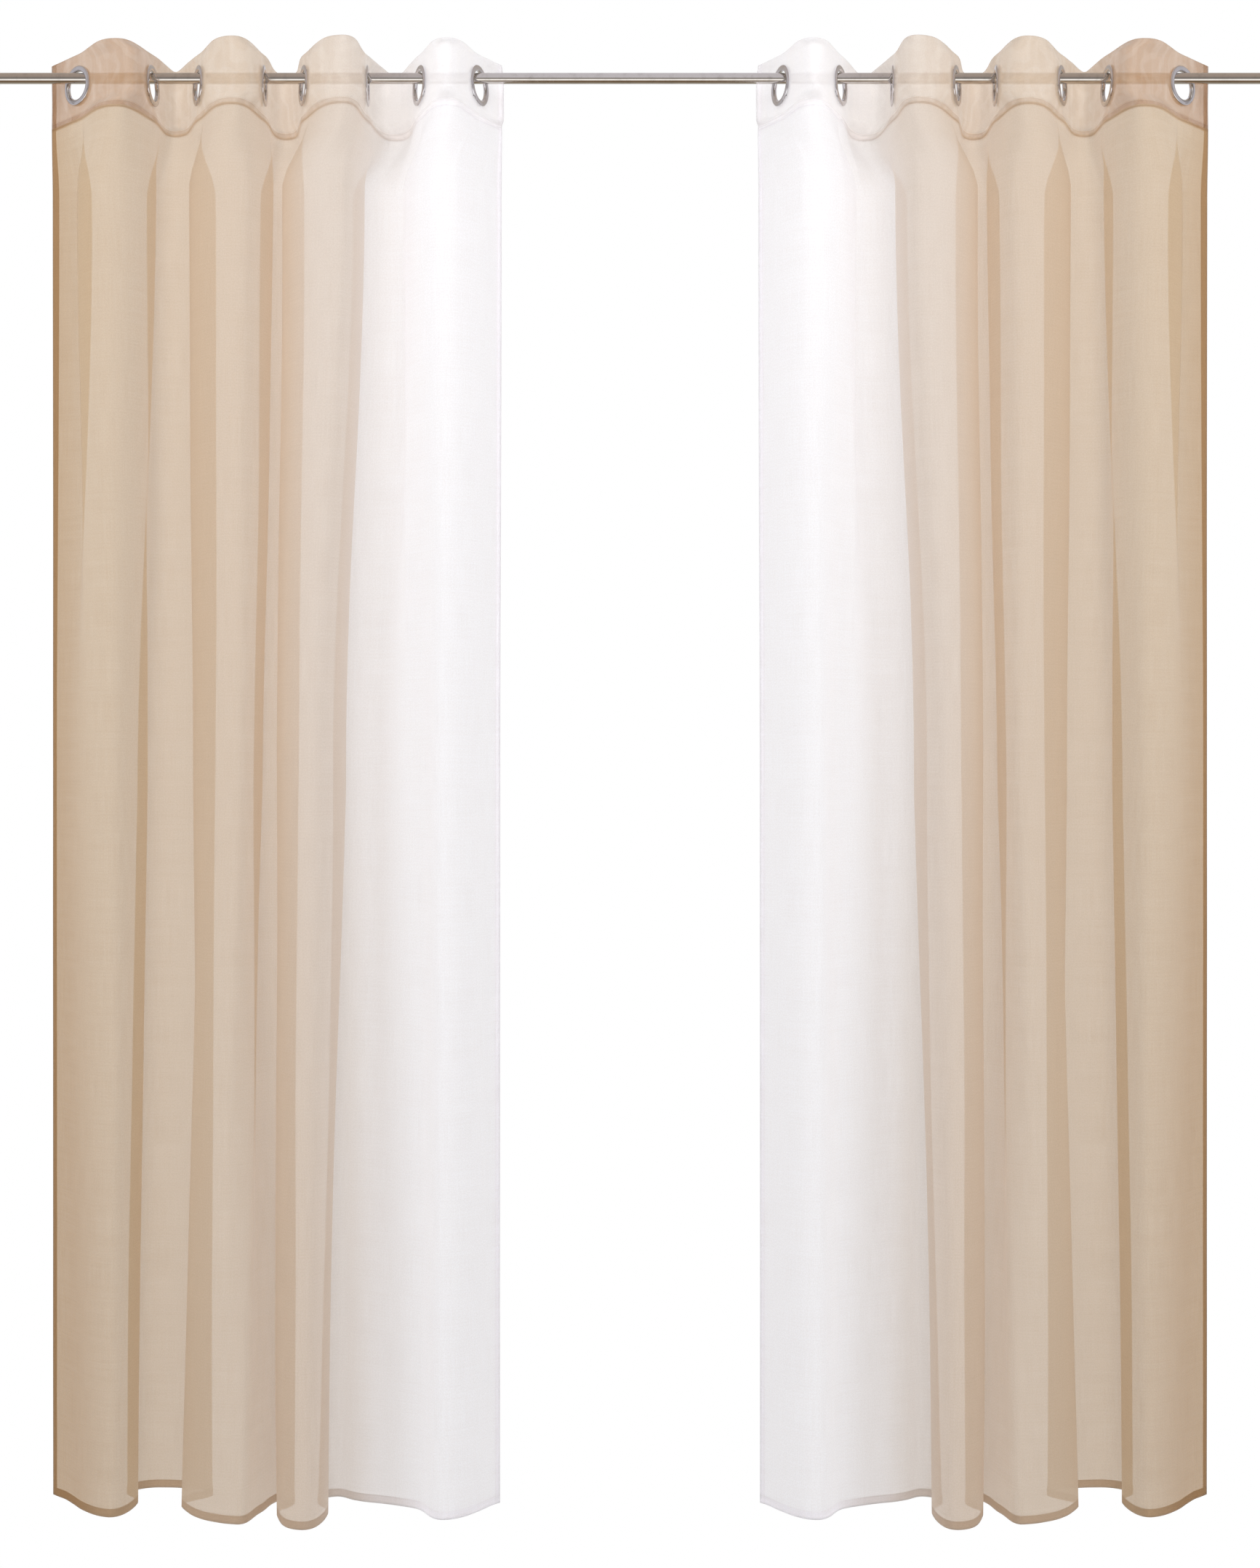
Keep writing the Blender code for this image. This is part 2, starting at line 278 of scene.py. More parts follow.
def new_group(
    name: str, inputs: dict[str, object], outputs: Sequence[str], build: Callable[[Graph, dict], dict]
) -> bpy.types.NodeTree:
    """A shader node group with named inputs and outputs.

    Args:
        name: the group's name.
        inputs: each input's default, a number or a vector's tuple.
        outputs: the names of its outputs, which are numbers.
        build: makes the nodes between the input sockets and the sockets that it returns by output name.

    Returns:
        The group.
    """
    tree = bpy.data.node_groups.new(name, "ShaderNodeTree")
    for label, default in inputs.items():
        kind = "NodeSocketVector" if isinstance(default, tuple) else "NodeSocketFloat"
        made = tree.interface.new_socket(name=label, in_out="INPUT", socket_type=kind)
        made.default_value = default
    for label in outputs:
        tree.interface.new_socket(name=label, in_out="OUTPUT", socket_type="NodeSocketFloat")
    graph = Graph(tree)
    start, end = graph.add("NodeGroupInput"), graph.add("NodeGroupOutput")
    results = build(graph, {label: start.outputs[label] for label in inputs})
    for label, socket in results.items():
        graph.put(end.inputs[label], socket)
    return tree


def weave_of(graph: Graph, given: dict) -> dict:
    """Plain weave: threads that cross over and under, with slubs where a thread is thicker.

    Args:
        graph: the group's graph.
        given: the place on the cloth and the distance from one thread to the next.

    Returns:
        Threads, which is 1 on a thread's crown, and Slubs, which is high where the threads are thick.
    """
    split = graph.add("ShaderNodeSeparateXYZ")
    graph.put(split.inputs[0], given["Cloth Place"])
    turn = graph.math("DIVIDE", math.pi, given["Thread Pitch"])
    warp = graph.math("ABSOLUTE", graph.math("SINE", graph.math("MULTIPLY", split.outputs[0], turn)))
    weft = graph.math("ABSOLUTE", graph.math("SINE", graph.math("MULTIPLY", split.outputs[1], turn)))
    threads = graph.math("MAXIMUM", warp, weft)
    long_slubs = graph.noise(graph.stretched(given["Cloth Place"], (900.0, 14.0, 0.0)), 1.0, 3.0)
    cross_slubs = graph.noise(graph.stretched(given["Cloth Place"], (11.0, 700.0, 0.0)), 1.0, 3.0)
    slubs = graph.math("MULTIPLY", graph.math("ADD", long_slubs, cross_slubs), 0.5)
    return {"Threads": threads, "Slubs": slubs}


def stitches_of(graph: Graph, given: dict) -> dict:
    """A row of stitches along one line of the cloth.

    Args:
        graph: the group's graph.
        given: the distances across and along the row, where its line is, and a stitch's length.

    Returns:
        Mask, which is 1 on the thread and 0 beside it.
    """
    away = graph.math("ABSOLUTE", graph.math("SUBTRACT", given["Across"], given["Line"]))
    on_line = graph.between(away, 0.25 * MM, 0.55 * MM, 1.0, 0.0)
    step = graph.math("FRACT", graph.math("DIVIDE", given["Along"], given["Stitch Length"]))
    on_stitch = graph.between(graph.math("ABSOLUTE", graph.math("SUBTRACT", step, 0.5)), 0.34, 0.44, 1.0, 0.0)
    return {"Mask": graph.math("MULTIPLY", on_line, on_stitch)}


def marks_of(graph: Graph, given: dict) -> dict:
    """What handling leaves on bright metal: soft smudges, and fine scratches that run one way.

    Args:
        graph: the group's graph.
        given: the place on the piece.

    Returns:
        Smudges and Scratches, each 1 where there is one.
    """
    smudges = graph.between(graph.noise(given["Place"], 55.0, 4.0, 0.6), 0.45, 0.75)
    scratches = graph.between(graph.noise(graph.stretched(given["Place"], (40.0, 900.0, 900.0)), 1.0, 2.0), 0.6, 0.8)
    return {"Smudges": smudges, "Scratches": scratches}


# Finishes


def new_material(name: str) -> tuple[bpy.types.Material, Graph, bpy.types.Node]:
    """A material with a Principled shader.

    Args:
        name: the material's name.

    Returns:
        The material, its graph and the shader.
    """
    made = bpy.data.materials.new(name)
    made.use_nodes = True
    return made, Graph(made.node_tree), made.node_tree.nodes["Principled BSDF"]


@dataclass(frozen=True)
class Voile:
    """Sheer voile, dyed so that it fades along its width, from the outer edge to the inner one; its colour at the outer
    edge is partly painted shade.
    """

    weave: bpy.types.NodeTree
    stitches: bpy.types.NodeTree
    dye_and_edge_shade_stops: tuple[tuple[float, Colour], ...] = (  # the colour at each distance from the outer edge; the first stop is partly painted shade, for the outer edge that turns from the light
        (0.02, (0.46, 0.30, 0.15)),
        (0.15, (0.58, 0.45, 0.31)),
        (0.35, (0.61, 0.49, 0.365)),
        (0.85, (0.635, 0.52, 0.41)),
        (0.97, (0.665, 0.58, 0.505)),
        (1.06, (0.695, 0.64, 0.60)),
        (1.13, (0.77, 0.74, 0.735)),
        (1.22, (0.89, 0.885, 0.91)),
    )
    opacity: float = 0.84
    header_opacity: float = 0.58
    through: float = 0.42  # how much of the light that reaches the threads comes out behind them
    header_through: float = 0.22
    fade_top: float = 2.2  # the dye's fading lies nearer the outer edge here than it does at the hem
    fade_shifts: tuple[float, float] = (-0.035, 0.045)  # how much nearer, at the hem and at the top
    header_outer_darkening: float = 0.70  # how much darker the header is near the outer edge
    darker_from: float = 0.20  # how far from that edge the darkening starts to fade
    darker_until: float = 0.34
    stitch_shade: float = 0.16
    thread_pitch: float = 0.45 * MM
    stitch_length: float = 3.2 * MM
    panel_width: float = 1.40

    def dye(self, graph: Graph, across: bpy.types.NodeSocket) -> bpy.types.NodeSocket:
        """The dye's colour at a distance from the outer edge, with painted shade in it at the outer edge.

        Args:
            graph: the material's graph.
            across: the distance along the cloth, in metres.

        Returns:
            The colour's output.
        """
        stops = [(place / self.panel_width, colour) for place, colour in self.dye_and_edge_shade_stops]
        return graph.ramp(graph.math("DIVIDE", across, self.panel_width), stops, "EASE")

    def made(self, part: Cloth, seams: "Seams") -> bpy.types.Material:
        """Makes the material.

        Args:
            part: which part of the panel it is for.
            seams: where the rows of stitches run.

        Returns:
            The material.
        """
        header = part is Cloth.HEADER
        material, graph, shader = new_material(part.value)
        place = graph.add("ShaderNodeUVMap", uv_map="cloth").outputs[0]
        split = graph.add("ShaderNodeSeparateXYZ")
        graph.put(split.inputs[0], place)
        across, along = split.outputs[0], split.outputs[1]
        weave = graph.place(self.weave, Cloth_Place=place, Thread_Pitch=self.thread_pitch)
        threads, slubs = weave.outputs["Threads"], weave.outputs["Slubs"]

        rows = [(along, across, line) for line in seams.across()]
        if not header:
            rows += [(across, along, line) for line in seams.along()]
        sewn: object = 0.0
        for way, other, line in rows:
            row = graph.place(self.stitches, Across=way, Along=other, Line=line, Stitch_Length=self.stitch_length)
            sewn = graph.math("MAXIMUM", sewn, row.outputs["Mask"])

        paler = graph.between(along, 0.0, self.fade_top, *self.fade_shifts)
        colour = self.dye(graph, graph.math("ADD", across, paler))
        # Painted shade: the colour is deepened in the hems and the header's turning, where the cloth lies double.
        colour = graph.mix(seams.painted_double_shade(graph, across, along), colour, colour, "MULTIPLY")
        if header:
            # The header is darker towards its outer edge.
            outer = graph.between(across, self.darker_from, self.darker_until, self.header_outer_darkening, 0.0)
            colour = graph.mix(outer, colour, (0.76, 0.55, 0.37), "MULTIPLY")
            # Painted sheen: pale streaks down the header, for the silky highlights at its crests.
            painted_sheen_streaks = graph.noise(graph.stretched(place, (70.0, 9.0, 0.0)), 1.0, 2.0, 0.5)
            colour = graph.mix(graph.between(painted_sheen_streaks, 0.40, 0.75, 0.0, 0.14), colour, (0.93, 0.88, 0.82))
            # Painted sheen: pale, wavy moiré bands over the header.
            painted_moire_sheen = graph.add("ShaderNodeTexWave")
            graph.put(painted_moire_sheen.inputs["Vector"], place)
            for label, number in (("Scale", 7.0), ("Distortion", 14.0), ("Detail", 2.0), ("Detail Scale", 2.0)):
                painted_moire_sheen.inputs[label].default_value = number
            colour = graph.mix(graph.between(painted_moire_sheen.outputs["Fac"], 0.35, 0.95, 0.0, 0.09), colour, (0.95, 0.92, 0.88))
        uneven = graph.between(slubs, 0.3, 0.7, 0.0, 0.16)
        colour = graph.mix(uneven, colour, (0.42, 0.33, 0.25), "MULTIPLY")
        speckle = graph.noise(graph.stretched(place, (520.0, 380.0, 0.0)), 1.0, 2.0, 0.7)
        colour = graph.mix(graph.between(speckle, 0.35, 0.65, 0.0, 0.10), colour, (0.50, 0.42, 0.36), "MULTIPLY")
        colour = graph.mix(graph.math("MULTIPLY", sewn, self.stitch_shade), colour, (0.50, 0.40, 0.31), "MULTIPLY")
        graph.put(shader.inputs["Base Color"], colour)

        height = graph.math("ADD", graph.math("MULTIPLY", threads, 0.5), graph.math("MULTIPLY", slubs, 0.6))
        height = graph.math("SUBTRACT", height, graph.math("MULTIPLY", sewn, 0.8))
        roughness = graph.between(slubs, 0.3, 0.7, 0.62, 0.80)
        if header:
            ripple = graph.noise(graph.stretched(place, (16.0, 150.0, 0.0)), 1.0, 3.0, 0.6)
            height = graph.math("ADD", height, graph.math("MULTIPLY", ripple, 1.6))
            roughness = graph.between(ripple, 0.3, 0.7, 0.30, 0.44)
            shader.inputs["Specular IOR Level"].default_value = 0.9
        graph.put(shader.inputs["Roughness"], roughness)
        graph.put(shader.inputs["Normal"], graph.bump(height, 0.25 * MM, 0.5))
        shader.inputs["Sheen Weight"].default_value = 0.15
        shader.inputs["Sheen Roughness"].default_value = 0.4

        behind = graph.add("ShaderNodeBsdfTranslucent")
        graph.put(behind.inputs["Color"], colour)
        cloth = graph.add("ShaderNodeMixShader")
        graph.put(cloth.inputs[0], self.header_through if header else self.through)
        graph.put(cloth.inputs[1], shader.outputs[0])
        graph.put(cloth.inputs[2], behind.outputs[0])

        base = self.header_opacity if header else self.opacity
        gaps = graph.between(threads, 0.55, 1.0, base - 0.05, base + 0.05)
        gaps = graph.math("ADD", gaps, graph.between(slubs, 0.3, 0.7, -0.03, 0.03))
        gaps = graph.math("MAXIMUM", gaps, graph.math("MULTIPLY", sewn, 0.97))
        sheer = graph.add("ShaderNodeMixShader")
        graph.put(sheer.inputs[0], gaps)
        graph.put(sheer.inputs[1], graph.add("ShaderNodeBsdfTransparent").outputs[0])
        graph.put(sheer.inputs[2], cloth.outputs[0])
        graph.put(material.node_tree.nodes["Material Output"].inputs[0], sheer.outputs[0])
        return material


@dataclass(frozen=True)
class Seams:
    """Where the hems and the rows of stitches run on the unfolded cloth, in metres from its corner."""

    width: float
    side_hem: float
    hem_top: float
    header_seam: float
    header_turning: float
    inside: float = 1 * MM  # the stitches' distance from a hem's edge
    hem_shade: float = 0.22  # how much painted shade deepens the colour in a hem, where the cloth lies double
    header_shade: float = 0.42  # the same in the header's turning

    def across(self) -> tuple[float, ...]:
        """The rows that run across the panel."""
        return self.hem_top - self.inside, self.header_seam + 1.5 * self.inside, self.header_seam + self.header_turning

    def along(self) -> tuple[float, ...]:
        """The rows that run down it."""
        return self.side_hem - self.inside, self.width - self.side_hem + self.inside

    def painted_double_shade(self, graph: Graph, across: bpy.types.NodeSocket, along: bpy.types.NodeSocket) -> bpy.types.NodeSocket:
        """How much painted shade deepens the colour where the cloth lies double.

        Args:
            graph: the material's graph.
            across: the distance across the unfolded cloth.
            along: the distance up it.

        Returns:
            The share's output.
        """
        soft = 0.5 * MM
        hem = self.hem_shade
        hems = (
            graph.between(along, self.hem_top - soft, self.hem_top + soft, hem, 0.0),
            graph.between(across, self.side_hem - soft, self.side_hem + soft, hem, 0.0),
            graph.between(across, self.width - self.side_hem - soft, self.width - self.side_hem + soft, 0.0, hem),
        )
        upper = self.header_seam + self.header_turning
        double = graph.math(
            "MULTIPLY",
            graph.between(along, self.header_seam - soft, self.header_seam + soft),
            graph.between(along, upper - soft, upper + soft, self.header_shade, 0.0),
        )
        for share in hems:
            double = graph.math("MAXIMUM", double, share)
        return double


@dataclass(frozen=True)
class Stiffener:
    """The pale, papery tape inside a header."""

    colour: Colour = (0.92, 0.90, 0.87)
    shade: Colour = (0.82, 0.79, 0.75)  # between its fibres
    opacity: float = 0.10

    def made(self) -> bpy.types.Material:
        """Makes the material, with a felted grain.

        Returns:
            The material.
        """
        material, graph, shader = new_material("header_tape")
        place = graph.add("ShaderNodeUVMap", uv_map="cloth").outputs[0]
        felt = graph.noise(place, 900.0, 4.0, 0.7)
        colour = graph.mix(graph.between(felt, 0.3, 0.7), self.colour, self.shade)
        graph.put(shader.inputs["Base Color"], colour)
        graph.put(shader.inputs["Alpha"], graph.between(felt, 0.3, 0.7, self.opacity - 0.05, self.opacity + 0.05))
        graph.put(shader.inputs["Roughness"], graph.between(felt, 0.3, 0.7, 0.7, 0.9))
        graph.put(shader.inputs["Normal"], graph.bump(felt, 0.1 * MM, 0.4))
        return material


@dataclass(frozen=True)
class Metal:
    """Bright metal with the marks of handling."""

    name: str
    marks: bpy.types.NodeTree
    colour: Colour
    worn: Colour
    roughness: float
    grain: tuple[float, float, float]  # the brushed grain's scale along each axis
    grain_depth: float = 0.0008 * MM

    def made(self) -> bpy.types.Material:
        """Makes the material.

        Returns:
            The material.
        """
        material, graph, shader = new_material(self.name)
        place = graph.add("ShaderNodeTexCoord").outputs["Object"]
        marks = graph.place(self.marks, Place=place)
        smudges, scratches = marks.outputs["Smudges"], marks.outputs["Scratches"]
        grain = graph.noise(graph.stretched(place, self.grain), 1.0, 3.0, 0.6)
        graph.put(shader.inputs["Base Color"], graph.mix(graph.math("MULTIPLY", smudges, 0.6), self.colour, self.worn))
        rough = graph.between(grain, 0.3, 0.7, self.roughness * 0.75, self.roughness * 1.3)
        rough = graph.math("ADD", rough, graph.math("MULTIPLY", smudges, 0.07))
        rough = graph.math("ADD", rough, graph.math("MULTIPLY", scratches, 0.10), clamp=True)
        graph.put(shader.inputs["Roughness"], rough)
        height = graph.math("SUBTRACT", graph.math("MULTIPLY", grain, 0.5), graph.math("MULTIPLY", scratches, 0.3))
        graph.put(shader.inputs["Normal"], graph.bump(height, self.grain_depth, 0.2))
        shader.inputs["Metallic"].default_value = 1.0
        return material


# Modelling by hand


def deselect() -> None:
    """Leaves object mode with nothing selected."""
    if bpy.context.mode != "OBJECT":
        bpy.ops.object.mode_set(mode="OBJECT")
    bpy.ops.object.select_all(action="DESELECT")


def apply_modifier(piece: bpy.types.Object, kind: str, **settings: object) -> None:
    """Adds a modifier and applies it.

    Args:
        piece: the object.
        kind: the modifier's type.
        settings: its properties.
    """
    change = piece.modifiers.new(kind.title(), kind)
    for name, value in settings.items():
        setattr(change, name, value)
    bpy.ops.object.select_all(action="DESELECT")
    piece.select_set(True)
    bpy.context.view_layer.objects.active = piece
    bpy.ops.object.modifier_apply(modifier=change.name)


def combine(piece: bpy.types.Object, tool: bpy.types.Object, operation: str = "DIFFERENCE") -> None:
    """Cuts another object out of a piece, or joins it on, and removes that object.

    Args:
        piece: the object that stays.
        tool: the object that is used up.
        operation: "DIFFERENCE" or "UNION".
    """
    apply_modifier(piece, "BOOLEAN", operation=operation, object=tool, solver="EXACT")
    bpy.data.objects.remove(tool, do_unlink=True)


def merge_close(piece: bpy.types.Object, distance: float) -> None:
    """Merges the corners that a cut leaves too close together for its edges to be rounded.

    Args:
        piece: the object.
        distance: how close they are.
    """
    deselect()
    piece.select_set(True)
    bpy.context.view_layer.objects.active = piece
    bpy.ops.object.mode_set(mode="EDIT")
    bpy.ops.mesh.select_all(action="SELECT")
    bpy.ops.mesh.remove_doubles(threshold=distance)
    bpy.ops.object.mode_set(mode="OBJECT")


def lathe(name: str, profile: Profile, sides: int, ring: bool = False) -> bpy.types.Object:
    """A turned piece along its own Z, from a circle that is extruded and resized down the profile.

    Args:
        name: the object's name.
        profile: (radius, height) points in order.
        sides: how many sides the circle has.
        ring: whether the profile closes on itself. Otherwise both ends are filled.

    Returns:
        The object, selected and active.
    """
    deselect()
    radius, height = profile[0]
    bpy.ops.mesh.primitive_circle_add(vertices=sides, radius=radius, location=(0, 0, height), enter_editmode=True)
    piece = bpy.context.object
    piece.name = piece.data.name = name
    bpy.ops.mesh.select_mode(type="VERT")
    bpy.ops.mesh.select_all(action="SELECT")
    if not ring:
        bpy.ops.mesh.edge_face_add()
        bpy.ops.mesh.select_all(action="SELECT")
    extrude = bpy.ops.mesh.extrude_edges_move if ring else bpy.ops.mesh.extrude_region_move
    for next_radius, next_height in profile[1:]:
        extrude(TRANSFORM_OT_translate={"value": (0, 0, next_height - height)})
        share = next_radius / radius
        bpy.ops.transform.resize(value=(share, share, 1), center_override=(0, 0, next_height))
        radius, height = next_radius, next_height
    if ring:
        bpy.ops.mesh.select_all(action="DESELECT")
        bpy.ops.mesh.select_mode(type="EDGE")
        bpy.ops.mesh.select_non_manifold(use_wire=False, use_multi_face=False, use_non_contiguous=False)
        bpy.ops.mesh.bridge_edge_loops()
    bpy.ops.mesh.select_all(action="SELECT")
    bpy.ops.mesh.remove_doubles(threshold=0.000001)
    bpy.ops.mesh.normals_make_consistent(inside=False)
    bpy.ops.object.mode_set(mode="OBJECT")
    bpy.ops.object.transform_apply(location=True, rotation=True, scale=True)
    return piece


def settle(piece: bpy.types.Object, place: Vector, way: Vector, upright: str = "Y") -> None:
    """Puts a piece that was modelled along its own Z at place, pointing along way, and applies that to its mesh.

    Args:
        piece: the object.
        place: where its origin goes.
        way: where its Z points.
        upright: which of its other axes points up.
    """
    turn = Vector(way).to_track_quat("Z", upright).to_matrix().to_4x4()
    piece.data.transform(Matrix.Translation(place) @ turn)
    piece.matrix_world = Matrix.Identity(4)


def rounded(piece: bpy.types.Object, width: float, segments: int = 3, angle: float = 35.0) -> None:
    """Rounds the piece's sharp edges and shades it smooth.

    Args:
        piece: the object.
        width: the rounding's width.
        segments: how many faces it has.
        angle: edges sharper than this are rounded, in degrees.
    """
    apply_modifier(
        piece, "BEVEL", width=width, segments=segments, limit_method="ANGLE", angle_limit=math.radians(angle),
        use_clamp_overlap=True, harden_normals=False,
    )
    bpy.ops.object.shade_smooth_by_angle(angle=SMOOTH_BELOW)


def copy_of(piece: bpy.types.Object, name: str) -> bpy.types.Object:
    """A copy with its own mesh.

    Args:
        piece: the object to copy.
        name: the copy's name.

    Returns:
        The copy.
    """
    made = piece.copy()
    made.data = piece.data.copy()
    made.name = made.data.name = name
    bpy.context.scene.collection.objects.link(made)
    return made


def stand_for(piece: bpy.types.Object, nodes: Sequence[str], body: str) -> None:
    """Makes a finished rigid piece ride in place of its nodes.

    Args:
        piece: the object.
        nodes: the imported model's nodes that it replaces.
        body: the body that it rides on.
    """
    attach(piece, body)
    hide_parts(*nodes)
    LOG.info("%s: %d faces, rides on %s", piece.name, len(piece.data.polygons), body)


def middle_of(*nodes: str) -> Vector:
    """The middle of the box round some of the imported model's nodes.

    Args:
        nodes: their names.

    Returns:
        The box's middle.
    """
    boxes = [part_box(node) for node in nodes]
    low = [min(box[0][axis] for box in boxes) for axis in range(3)]
    high = [max(box[1][axis] for box in boxes) for axis in range(3)]
    return Vector([(first + second) / 2 for first, second in zip(low, high)])


# The cloth


def eased(share: float) -> float:
    """A share from 0 to 1 that leaves 0 and reaches 1 slowly."""
    return share * share * (3 - 2 * share)


@dataclass(frozen=True)
class Fold:
    """One bend of the hanging cloth, seen from above, and how the cloth crosses over from it to the next bend."""

    x: float  # the bend, from the middle of the rod
    depth: float  # behind the rod's axis, or before it where negative
    wall: Optional[float] = None  # where the cloth crosses to the next bend
    tuck: float = 0.0  # how far it doubles back on itself there. Negative is a slanting wall


@dataclass(frozen=True)
class Row:
    """One row of the cloth's mesh."""

    height: float
    unfolded: float  # how far the row is from the bottom's raw edge, along the cloth
    offset: float  # from the panel's middle line, towards the room
    hem_side: float  # 1 where the side hems lie behind this layer, -1 where they lie before it


@dataclass(frozen=True)
class Column:
    """One column of the cloth's mesh."""

    across: float  # from the outer edge, on the hanging panel
    unfolded: float  # the same on the unfolded cloth, with its turnings
    behind: float  # how far the side hem's layer lies behind the panel


@dataclass
class Panel:
    """One curtain panel: the sheer cloth with its hems, the tape in its header, and its eyelets."""

    side: Side
    width: float = 1.40
    height: float = 2.25
    header: float = 104 * MM
    header_turning: float = 10.5 * MM
    side_hem: float = 10 * MM
    bottom_hem: float = 12.5 * MM
    edge_to_eyelet: float = 65 * MM
    eyelet_below_top: float = 49 * MM
    layer_offset: float = 1.1 * MM
    tape_inset: float = 3 * MM
    flat_half: float = 31 * MM
    hole_radius: float = 25.4 * MM
    edge_curl: float = math.radians(-50)
    flange_grip: float = 18 * MM  # how far past a flange the header takes to leave its flat line
    ripple_grip: float = 14 * MM  # how far past it the ripples take to rise
    header_edges: tuple[tuple[float, float], ...] = ((-0.910, 0.042), (-0.202, 0.038))
    header_bends: tuple[tuple[float, float], ...] = (
        (-0.779, -0.055),
        (-0.722, 0.062),
        (-0.601, -0.063),
        (-0.548, 0.074),
        (-0.434, -0.066),
        (-0.374, 0.079),
        (-0.2765, -0.057),
    )
    top_roundness: tuple[float, ...] = (0.38, 0.10, 0.38, 0.34, 0.38, 0.10, 0.38)  # of each bend at the top fold
    header_roundness: float = 0.36  # of each bend below it
    fold_roundness: float = 0.38  # of the bends and tucks lower down
    gap_shares: tuple[float, ...] = (0.63, 0.40, 0.55, 0.35, 0.53, 0.46, 0.50)
    turns: tuple[float, ...] = (35, 89, 62.5, 96, 67.5, 95, 64.5, 69)
    upper_level: float = -0.17
    upper_folds: tuple[Fold, ...] = (
        Fold(-0.909, 0.042, -0.846, 0.012),
        Fold(-0.785, -0.050, -0.749, 0.024),
        Fold(-0.7225, 0.062, -0.667, 0.030),
        Fold(-0.6008, -0.061, -0.568, 0.028),
        Fold(-0.549, 0.065, -0.524, 0.024),
        Fold(-0.445, -0.067, -0.424, 0.024),
        Fold(-0.381, 0.070, -0.345, 0.010),
        Fold(-0.278, -0.050),
        Fold(-0.2025, 0.030),
    )
    middle_level: float = -1.10
    middle_folds: tuple[Fold, ...] = (
        Fold(-0.908, 0.041),
        Fold(-0.798, -0.036, -0.767, 0.024),
        Fold(-0.723, 0.066, -0.666, 0.026),
        Fold(-0.600, -0.056, -0.578, 0.022),
        Fold(-0.556, 0.048, -0.532, 0.027),
        Fold(-0.4835, -0.071, -0.451, 0.025),
        Fold(-0.410, 0.055, -0.350, -0.050),
        Fold(-0.2825, -0.040),
        Fold(-0.2031, 0.018),
    )
    bottom_folds: tuple[Fold, ...] = (
        Fold(-0.908, 0.041),
        Fold(-0.798, -0.036, -0.780, 0.024),
        Fold(-0.718, 0.066, -0.674, 0.040),
        Fold(-0.596, -0.057, -0.563, -0.014),
        Fold(-0.538, 0.030, -0.531, 0.020),
        Fold(-0.493, -0.075, -0.478, 0.024),
        Fold(-0.462, 0.040, -0.380, -0.100),
        Fold(-0.2825, -0.038),
        Fold(-0.2035, 0.018),
    )
    # Where a tuck's two corners lie, as the share of the way to the next bend and of the tuck's own width
    tuck_to_wall: tuple[tuple[float, float], ...] = ((0.45, 0.5), (0.83, -0.5))
    tuck_to_room: tuple[tuple[float, float], ...] = ((0.18, 0.5), (0.52, -0.5))
    edge_crease: float = 66 * MM  # the crease below the outer eyelet, from the outer edge
    edge_crease_depth: float = 7 * MM
    crease_depth: float = 2.6 * MM  # of those that fall from every eyelet
    slow_wave: float = 4.5 * MM
    fine_wave: float = 0.9 * MM
    line_steps: int = 1400
    columns: int = 260
    tape_steps: int = 22
    centres: list[Vector] = field(default_factory=list)
    plans: dict[str, list[Vector]] = field(default_factory=dict)

    def __post_init__(self) -> None:
        """Reads the eyelets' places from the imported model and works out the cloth's line at each height."""
        name = self.side.value
        for number in range(1, len(self.turns) + 1):
            self.centres.append(middle_of(f"{name}_eyelet_{number}_front", f"{name}_eyelet_{number}_back"))
        self.top = self.centres[0].z + self.eyelet_below_top
        self.bottom = self.top - self.height
        self.rod_y = self.centres[0].y
        self.between_eyelets = (self.width - 2 * self.edge_to_eyelet) / len(self.gap_shares)
        self.plans["header"] = self.evenly(self.header_line(), self.line_steps)
        self.plans["top"] = self.rounder_line(self.top_roundness)
        self.plans["relaxed"] = self.rounder_line((self.header_roundness,) * len(self.header_bends))
        for plan, folds in (
            ("upper", self.upper_folds), ("middle", self.middle_folds), ("bottom", self.bottom_folds)
        ):
            self.plans[plan] = self.evenly(self.line_through(folds), self.line_steps)
        for plan, line in self.plans.items():
            length = sum((second - first).length for first, second in zip(line, line[1:]))
            LOG.info("%s: the cloth's %s line is %.3f m long", name, plan, length)

    # The cloth's line in plan

    def evenly(self, points: list[Vector], steps: int) -> list[Vector]:
        """Sets points an equal distance apart along a line.

        Args:
            points: the line.
            steps: how many steps it is cut into.

        Returns:
            The points, from the line's start to its end.
        """
        lengths = [(second - first).length for first, second in zip(points, points[1:])]
        total = sum(lengths)
        even, done, index = [], 0.0, 0
        for number in range(steps + 1):
            goal = total * number / steps
            while index < len(lengths) - 1 and done + lengths[index] < goal:
                done += lengths[index]
                index += 1
            share = min(1.0, (goal - done) / max(lengths[index], 1e-9))
            even.append(points[index].lerp(points[index + 1], share))
        return even

